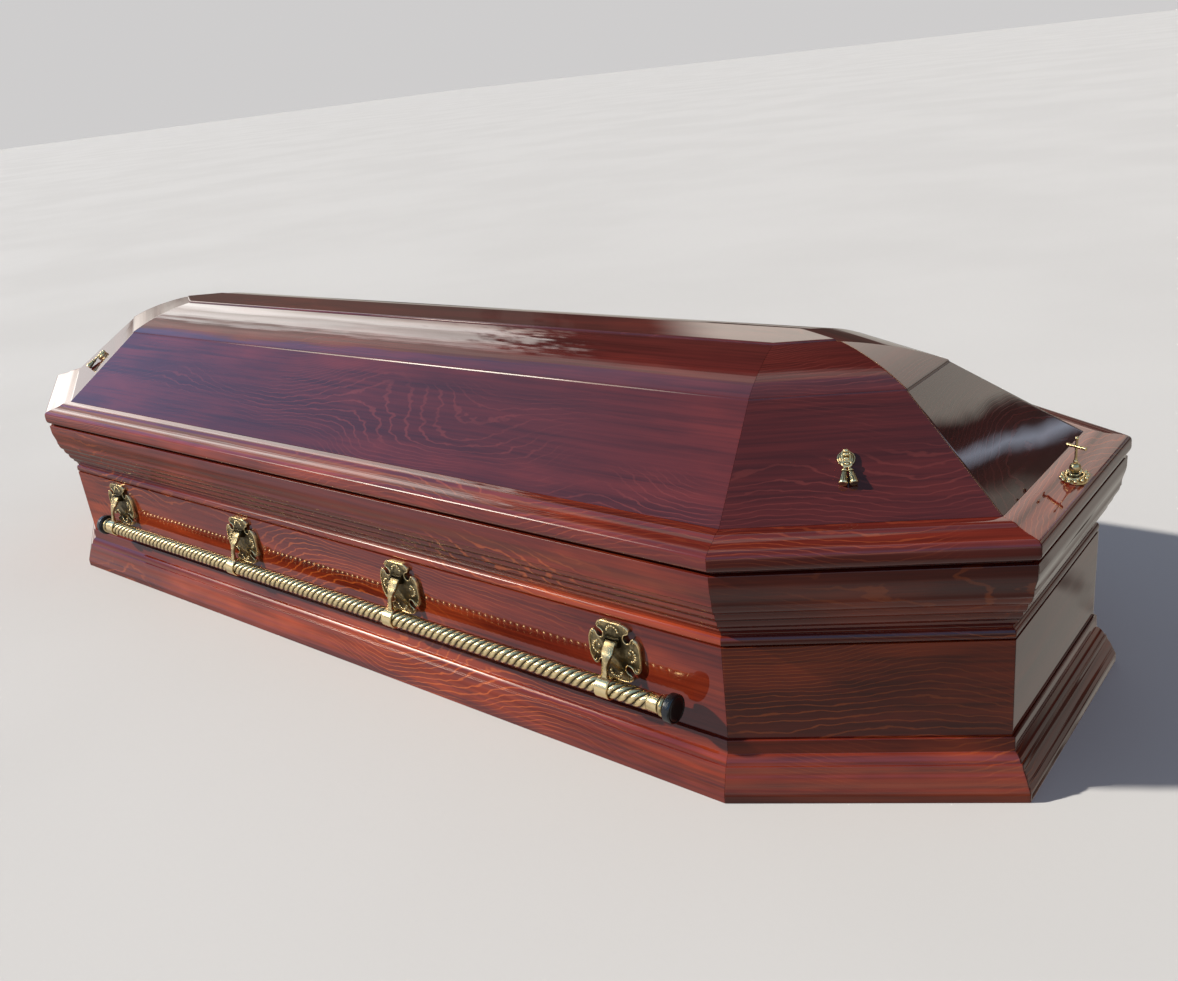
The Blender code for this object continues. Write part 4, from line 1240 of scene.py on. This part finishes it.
@dataclass(frozen=True)
class TasselCover:
    """A domed screw cover with a knot and two tassels that lie down the slope."""

    d: float = -0.1120
    shift: float = 0.0040
    foot_d: float = -0.0480
    foot_z: float = 0.3180
    crease_d: float = -0.1820
    crease_z: float = 0.4155

    def shape(self) -> bmesh.types.BMesh:
        """The cover, with its dome's foot on z = 0 and the tassels down along -y."""
        cover = smooth_run([(0.0, 0.0048), (0.0040, 0.0046), (0.0070, 0.0036), (0.0084, 0.0025)], 3)
        rim = smooth_run([(0.0088, 0.0028), (0.0095, 0.0026), (0.0099, 0.0014), (0.0098, 0.0)], 2)
        shapes = [turned(cover + rim + [(0.0, 0.0)], 36)]
        for y, wide, high in ((0.0078, 0.0034, 0.0030), (0.0026, 0.0040, 0.0038), (-0.0030, 0.0034, 0.0034)):
            shapes.append(moved(ball((0.0, 0.0, 0.0), 1.0, 3), Matrix.Translation((0.0, y, 0.0044)) @ Matrix.Diagonal((wide, 0.0025, high, 1.0))))
        around = [math.tau * k / 18 for k in range(18)]
        shapes.append(tube([Vector((0.0048 * math.cos(a), -0.0094 + 0.0036 * math.sin(a), 0.0058)) for a in around], [0.0015] * 18, 8, closed=True))
        shapes.append(moved(ball((0.0, 0.0, 0.0), 1.0, 2), Matrix.Translation((0.0, -0.0094, 0.0054)) @ Matrix.Diagonal((0.0030, 0.0020, 0.0022, 1.0))))
        for hand in (-1.0, 1.0):
            cord = [Vector((hand * x, y, z)) for x, y, z in ((0.0022, 0.0098, 0.0036), (0.0040, 0.0052, 0.0046), (0.0042, 0.0, 0.0050), (0.0034, -0.0062, 0.0052))]
            shapes.append(tube(cord, [0.0010, 0.0013, 0.0013, 0.0012], 8))
            bell = turned(smooth_run([
                (0.0016, 0.0), (0.0020, -0.0014), (0.0018, -0.0034), (0.0030, -0.0040), (0.0035, -0.0048), (0.0030, -0.0057), (0.0027, -0.0064),
                (0.0036, -0.0110), (0.0045, -0.0165), (0.0051, -0.0205),
            ], 2) + [(0.0044, -0.0213), (0.0, -0.0206)], 36)
            for vert in bell.verts:
                depth = min(1.0, max(0.0, -vert.co.z - 0.0070) / 0.004)
                size = 1.0 - 0.10 * depth * (0.5 + 0.5 * math.cos(12 * math.atan2(vert.co.y, vert.co.x)))
                vert.co.x *= size
                vert.co.y *= size
            lie = Matrix.Rotation(math.radians(-90.0), 4, "X")
            splay = Matrix.Rotation(math.radians(hand * 9.0), 4, "Z")
            shapes.append(moved(bell, Matrix.Translation((hand * 0.0024, -0.0128, 0.0050)) @ splay @ lie))
        whole = joined(shapes)
        stamp_wear(whole)
        return whole

    def make(self, side: Side) -> bmesh.types.BMesh:
        """The cover on the middle of a corner board."""
        slope = math.atan2(self.crease_z - self.foot_z, self.foot_d - self.crease_d)
        out = PLAN.outwards(side)
        normal = (out * math.sin(slope) + Vector((0.0, 0.0, math.cos(slope)))).normalized()
        up = (Vector((0.0, 0.0, math.sin(slope))) - out * math.cos(slope)).normalized()
        turn = Matrix((up.cross(normal), up, normal)).transposed().to_4x4()
        index = list(Side).index(side)
        ends = [Vector(PLAN.corner(number, self.d)) for number in (index - 1, index)]
        towards_end = 1.0 if side in (Side.NEAR_HEAD, Side.FAR_FOOT) else -1.0
        middle = (ends[0] + ends[1]) / 2 + (ends[1] - ends[0]).normalized() * self.shift * towards_end
        height = self.foot_z + (self.foot_d - self.d) * math.tan(slope)
        place = Vector((middle.x, middle.y, height)) + normal * PLAN.gap
        return moved(self.shape(), Matrix.Translation(place) @ turn)


@dataclass(frozen=True)
class Crucifix:
    """A turned rosette and ball with a small plain cross on top."""

    d: float = -0.0180
    turn: float = 160.0
    low: Point = (-0.0080, 0.3110)
    high: Point = (-0.0400, 0.3177)
    rosette_top: float = 0.0052
    oval: Point = (0.90, 1.24)

    def shape(self) -> bmesh.types.BMesh:
        """The screw, its foot reaching below z = 0."""
        body = smooth_run([(0.0, 0.0181), (0.0030, 0.0174), (0.0052, 0.0155), (0.0062, 0.0118), (0.0052, 0.0084), (0.0034, 0.0068)], 4)
        ring = smooth_run([(0.0036, 0.0064), (0.0058, 0.0060), (0.0062, 0.0050), (0.0050, 0.0036), (0.0066, 0.0022)], 3)
        plate = [(0.0080, 0.0018), (0.0140, 0.0014), (0.0150, 0.0006), (0.0150, -0.0080), (0.0, -0.0080)]
        shapes = [turned(body + ring + plate, 40)]
        around = [math.tau * k / 28 for k in range(28)]
        shapes.append(tube([Vector((0.0100 * math.cos(a), 0.0100 * math.sin(a), 0.0032)) for a in around], [0.0013] * 28, 8, closed=True))
        for index in range(12):
            angle = math.tau * (index + 0.5) / 12
            shapes.append(ball((0.0144 * math.cos(angle), 0.0144 * math.sin(angle), 0.0024), 0.0026, 3))
            shapes.append(ball((0.0122 * math.cos(angle + 0.26), 0.0122 * math.sin(angle + 0.26), 0.0030), 0.0013, 2))
        stem = smooth_run([
            (0.0, 0.0480), (0.0016, 0.0474), (0.0023, 0.0458), (0.0016, 0.0442), (0.0015, 0.0420), (0.0015, 0.0260), (0.0017, 0.0220), (0.0025, 0.0196), (0.0022, 0.0176),
        ], 3) + [(0.0, 0.0176)]
        shapes.append(turned(stem, 16))
        half = [(0.0, 0.0120), (0.0016, 0.0120), (0.0019, 0.0117), (0.0019, 0.0110), (0.0018, 0.0040)]
        bar = turned(half + [(radius, -z) for radius, z in reversed(half)], 20)
        shapes.append(moved(bar, Matrix.Translation((0.0, 0.0, 0.0363)) @ LYING))
        return joined(shapes)

    def make(self, end: float) -> bmesh.types.BMesh:
        """The screw on one end of the lid frame; end is 1 at the head and -1 at the foot."""
        whole = self.shape()
        extra = 0.0 if end > 0 else math.pi
        moved(whole, Matrix.Rotation(math.radians(self.turn) + extra, 4, "Z"))
        for vert in whole.verts:
            if vert.co.z < self.rosette_top:
                vert.co.x *= self.oval[0]
                vert.co.y *= self.oval[1]
        rise = (self.high[1] - self.low[1]) / (self.high[0] - self.low[0])
        base = self.low[1] + (self.d - self.low[0]) * rise + PLAN.gap
        tilt = Vector((-end * rise, 0.0, 1.0)).normalized()
        geometry = whole.verts[:] + whole.edges[:] + whole.faces[:]
        bmesh.ops.bisect_plane(whole, geom=geometry, dist=1e-6, plane_co=(0.0, 0.0, 0.0), plane_no=-tilt, clear_outer=True)
        bmesh.ops.holes_fill(whole, edges=[edge for edge in whole.edges if edge.is_boundary], sides=0)
        bmesh.ops.recalc_face_normals(whole, faces=whole.faces)
        stamp_wear(whole)
        return moved(whole, Matrix.Translation((end * (PLAN.length / 2 + self.d), 0.0, base)))


@dataclass(frozen=True)
class LidScrews:
    """The screw covers that stand on the lid."""

    tassel: TasselCover = TasselCover()
    crucifix: Crucifix = Crucifix()

    def build(self, maker: Maker) -> None:
        """Make all six."""
        for side in Side:
            if "_" in side.value:
                maker.piece(f"tassel_cover_{side.value}", self.tassel.make(side), Slot.BRASS, "coffin", [f"tassel_screw_{side.value}"], sharp=50.0)
        for name, end in (("head", 1.0), ("foot", -1.0)):
            maker.piece(f"crucifix_cover_{name}", self.crucifix.make(end), Slot.BRASS, "coffin", [f"crucifix_screw_{name}"], sharp=50.0)


# The studio


@dataclass(frozen=True)
class View:
    """The photograph's viewpoint."""

    position: tuple[float, float, float] = (1.2935, -1.1661, 0.7915)
    yaw: float = 130.876
    pitch: float = -21.367
    roll: float = -6.869
    focal_pixels: float = 1086.6
    sensor: float = 36.0

    def build(self) -> None:
        """Make the camera and set it as the scene's."""
        yaw, pitch, roll = (math.radians(value) for value in (self.yaw, self.pitch, self.roll))
        ahead = Vector((math.cos(pitch) * math.cos(yaw), math.cos(pitch) * math.sin(yaw), math.sin(pitch)))
        right = Vector((math.sin(yaw), -math.cos(yaw), 0.0))
        up = right.cross(ahead)
        across = math.cos(roll) * right + math.sin(roll) * up
        over = -math.sin(roll) * right + math.cos(roll) * up
        data = bpy.data.cameras.new("camera")
        data.sensor_fit = "HORIZONTAL"
        data.sensor_width = self.sensor
        data.lens = self.sensor * self.focal_pixels / IMAGE_WIDTH
        data.clip_start, data.clip_end = 0.01, 200.0
        camera = bpy.data.objects.new("camera", data)
        camera.matrix_world = Matrix.Translation(self.position) @ Matrix((across, over, -ahead)).transposed().to_4x4()
        bpy.context.scene.collection.objects.link(camera)
        bpy.context.scene.camera = camera


class Studio:
    """The floor, the key light and the surroundings."""

    SUN = (-0.70, -0.46, 0.545)
    SUN_STRENGTH = 6.0
    SUN_ANGLE = 2.0
    GLOW = (10.0, 9.2, 7.8, 1.0)
    CORE = (36.0, 33.5, 29.0, 1.0)
    FLOOR_SIZE = 60.0
    # what the camera sees past the floor, and how it lights what is matt
    BACKDROP = (0.620, 0.610, 0.610)
    SOFT = ((0.00, (0.20, 0.18, 0.17)), (0.48, (0.24, 0.22, 0.21)), (0.53, (0.42, 0.42, 0.43)), (0.75, (0.26, 0.27, 0.32)), (1.00, (0.22, 0.26, 0.36)))
    # what the lacquer mirrors, by height: a pale horizon and a clear sky
    SKY = (
        (0.00, (1.15, 1.12, 1.08)), (0.12, (0.90, 0.90, 0.90)), (0.27, (0.50, 0.56, 0.76)), (0.40, (0.40, 0.86, 1.60)),
        (0.56, (0.42, 0.80, 1.44)), (0.76, (0.42, 0.74, 1.18)), (0.92, (0.32, 0.46, 0.66)), (1.00, (0.28, 0.36, 0.50)),
    )
    GROUND = ((0.00, (0.70, 0.68, 0.64)), (0.38, (0.62, 0.60, 0.56)), (0.58, (0.26, 0.25, 0.23)), (0.80, (0.46, 0.44, 0.42)), (0.93, (0.95, 0.93, 0.92)), (1.00, (1.10, 1.08, 1.06)))
    FAR_GROUND = (0.50, 0.47, 0.42, 1.0)
    NEAR_HAZE = (0.86, 0.92, 1.06, 1.0)
    # behind the coffin: a grey haze, then bright cloud, then shade under trees
    BEYOND = (
        (0.00, (0.60, 0.58, 0.62)), (0.18, (1.15, 1.12, 1.06)), (0.29, (0.80, 0.75, 0.70)), (0.34, (2.60, 2.60, 2.50)),
        (0.40, (1.00, 0.94, 0.86)), (0.46, (3.30, 3.30, 3.15)), (0.56, (2.20, 2.15, 2.00)), (0.64, (3.40, 3.35, 3.20)),
        (0.74, (2.40, 2.30, 2.10)), (0.90, (0.16, 0.14, 0.12)),
    )
    # past the head end, by how far the direction leans towards it
    AHEAD = ((0.10, (1.50, 1.42, 1.25)), (0.34, (1.60, 1.50, 1.30)), (0.42, (0.10, 0.08, 0.07)), (0.53, (0.12, 0.10, 0.09)), (0.60, (1.80, 2.05, 2.50)), (0.68, (0.12, 0.10, 0.09)), (0.78, (0.14, 0.12, 0.10)), (0.86, (0.90, 0.84, 0.72)))
    SHADE = (0.07, 0.06, 0.05, 1.0)

    def build(self) -> None:
        """Set up the studio."""
        bm = bmesh.new()
        bmesh.ops.create_grid(bm, x_segments=8, y_segments=8, size=self.FLOOR_SIZE)
        mesh = bpy.data.meshes.new("floor")
        bm.to_mesh(mesh)
        bm.free()
        mesh.materials.append(StudioFloor().make())
        floor = bpy.data.objects.new("floor", mesh)
        floor.visible_glossy = False
        floor.visible_diffuse = False
        bpy.context.scene.collection.objects.link(floor)
        self.sun()
        self.surroundings()
        bpy.context.scene.view_settings.view_transform = "Standard"

    def sun(self) -> None:
        """Make the key light, a soft sun."""
        data = bpy.data.lights.new("key", "SUN")
        data.energy = self.SUN_STRENGTH
        data.angle = math.radians(self.SUN_ANGLE)
        data.color = (1.0, 0.95, 0.87)
        lamp = bpy.data.objects.new("key", data)
        lamp.visible_glossy = False
        lamp.matrix_world = Matrix.Translation((0.0, 0.0, 3.0)) @ Vector(self.SUN).to_track_quat("Z", "Y").to_matrix().to_4x4()
        bpy.context.scene.collection.objects.link(lamp)

    @staticmethod
    def stops(graph: Graph, value: object, table: Sequence[tuple[float, tuple[float, float, float]]]) -> bpy.types.NodeSocket:
        """Turn a value from 0 to 1 into a colour by a table of stops."""
        ramp = graph.node("ValToRGB")
        graph.feed(ramp.inputs[0], value)
        for index, (place, colour) in enumerate(table):
            stop = ramp.color_ramp.elements[index] if index < 2 else ramp.color_ramp.elements.new(place)
            stop.position = place
            stop.color = (*colour, 1.0)
        return ramp.outputs[0]

    def surroundings(self) -> None:
        """Make the world: plain for the camera, soft for matt things and a bright open place for what mirrors it."""
        world = bpy.data.worlds.new("studio")
        world.use_nodes = True
        bpy.context.scene.world = world
        graph = Graph(world.node_tree)
        towards = graph.node("TexCoord").outputs["Generated"]
        split = graph.node("SeparateXYZ")
        graph.feed(split.inputs[0], towards)
        x, y, z = split.outputs
        sky = self.stops(graph, z, self.SKY)
        ground = self.stops(graph, graph.math("ADD", z, 1.0), self.GROUND)
        blots = graph.noise(graph.stretch(towards, (4.0, 4.0, 7.0)), 1.0, 3.0, 0.6)
        ground = graph.mix(graph.ramp(y, 0.25, 0.50), ground, graph.mix(graph.ramp(blots, 0.56, 0.62), self.FAR_GROUND, self.SHADE))
        haze = graph.math("MULTIPLY", graph.ramp(x, -0.35, 0.05, 1.0, 0.0), graph.ramp(y, -0.60, -0.30, 1.0, 0.0))
        haze = graph.math("MULTIPLY", haze, graph.ramp(z, -0.80, -0.20, 0.35, 1.0))
        ground = graph.mix(haze, ground, self.NEAR_HAZE)
        mirrored = graph.mix(graph.math("GREATER_THAN", z, 0.0), ground, sky)
        # the far side, by how steeply a direction leans away from the sky
        waves = graph.noise(graph.stretch(towards, (5.0, 9.0, 16.0)), 1.0, 4.0, 0.6)
        lean = graph.math("SUBTRACT", y, graph.math("MULTIPLY", z, 0.72))
        lean = graph.math("ADD", lean, graph.math("MULTIPLY", graph.math("SUBTRACT", waves, 0.5), 0.16))
        beyond = self.stops(graph, graph.math("MULTIPLY_ADD", lean, 1.6, 0.30), self.BEYOND)
        leaves = graph.noise(graph.stretch(towards, (40.0, 40.0, 40.0)), 1.0, 3.0, 0.7)
        edge = graph.math("ADD", x, graph.math("MULTIPLY", graph.math("SUBTRACT", leaves, 0.5), 0.22))
        shaded = graph.math("MULTIPLY", graph.ramp(edge, -0.70, -0.64), graph.ramp(lean, -0.06, 0.02))
        beyond = graph.mix(shaded, beyond, self.SHADE)
        far = graph.math("MULTIPLY", graph.ramp(lean, -0.17, -0.12), graph.math("GREATER_THAN", z, 0.0))
        mirrored = graph.mix(far, mirrored, beyond)
        slant = graph.math("ADD", x, graph.math("MULTIPLY", graph.math("SUBTRACT", waves, 0.5), 0.03))
        ahead = self.stops(graph, graph.math("MULTIPLY_ADD", slant, 6.25, -0.875), self.AHEAD)
        facing = graph.math("MULTIPLY", graph.ramp(y, 0.78, 0.82), graph.ramp(z, 0.10, 0.24))
        mirrored = graph.mix(facing, mirrored, ahead)
        # the sun as it is mirrored, wide and soft
        aim = [graph.math("MULTIPLY", part, share) for part, share in zip((x, y, z), Vector(self.SUN).normalized())]
        aim = graph.math("ADD", graph.math("ADD", aim[0], aim[1]), aim[2])
        mirrored = graph.mix(graph.ramp(aim, 0.970, 0.995), mirrored, self.GLOW)
        mirrored = graph.mix(graph.ramp(aim, 0.9940, 0.9975), mirrored, self.CORE)
        path = graph.node("LightPath").outputs
        seen = graph.mix(path["Is Glossy Ray"], self.stops(graph, graph.math("MULTIPLY_ADD", z, 0.5, 0.5), self.SOFT), mirrored)
        seen = graph.mix(path["Is Camera Ray"], seen, (*self.BACKDROP, 1.0))
        background = world.node_tree.nodes["Background"]
        graph.feed(background.inputs["Color"], seen)
        background.inputs["Strength"].default_value = 1.0


def make_materials() -> tuple[dict[Slot, bpy.types.Material], bpy.types.Material]:
    """Make every finish of the object.

    Returns:
        The materials by slot, and the warmer stain of the lid frame.
    """
    shared = Shared(wood_figure_group(), lacquer_group(), patina_group())
    frame_stain = StainedWood(
        "stained_frame_wood", (0.052, 0.0065, 0.0055, 1.0), (0.150, 0.0190, 0.0120, 1.0), (0.310, 0.0440, 0.0160, 1.0), (0.400, 0.0850, 0.0280, 1.0),
        line_count=190.0, line_share=0.32,
    )
    finishes = {
        Slot.CASE: StainedWood(
            "stained_case_wood", (0.055, 0.0065, 0.0045, 1.0), (0.155, 0.0190, 0.0090, 1.0), (0.340, 0.0500, 0.0130, 1.0), (0.560, 0.1250, 0.0240, 1.0), line_count=170.0, line_share=0.50,
        ),
        Slot.LID: StainedWood(
            "stained_lid_wood", (0.037, 0.0060, 0.0060, 1.0), (0.083, 0.0120, 0.0110, 1.0), (0.134, 0.0190, 0.0140, 1.0), (0.190, 0.0370, 0.0300, 1.0), line_share=0.42, line_count=180.0,
        ),
        Slot.PLAIN: PlainWood("bare_inside_wood"),
        Slot.BRASS: AgedMetal("antique_brass", (0.74, 0.55, 0.27, 1.0), (0.062, 0.046, 0.022, 1.0)),
        Slot.CAP: AgedMetal("dark_cap", (0.006, 0.006, 0.006, 1.0), (0.003, 0.003, 0.003, 1.0), polish=0.12, metallic=0.0),
    }
    return {slot: finish.make(shared) for slot, finish in finishes.items()}, frame_stain.make(shared)


def main() -> None:
    """Build the coffin, the studio and the camera."""
    logging.basicConfig(level=logging.INFO, format="%(message)s")
    materials, frame_stain = make_materials()
    maker = Maker(materials)
    Woodwork(maker, frame_stain).build()
    for hand in Hand:
        Handle(hand).build(maker)
    LidScrews().build(maker)
    Studio().build()
    View().build()
    LOG.info("%d pieces", maker.made)


if __name__ == "__main__":
    main()
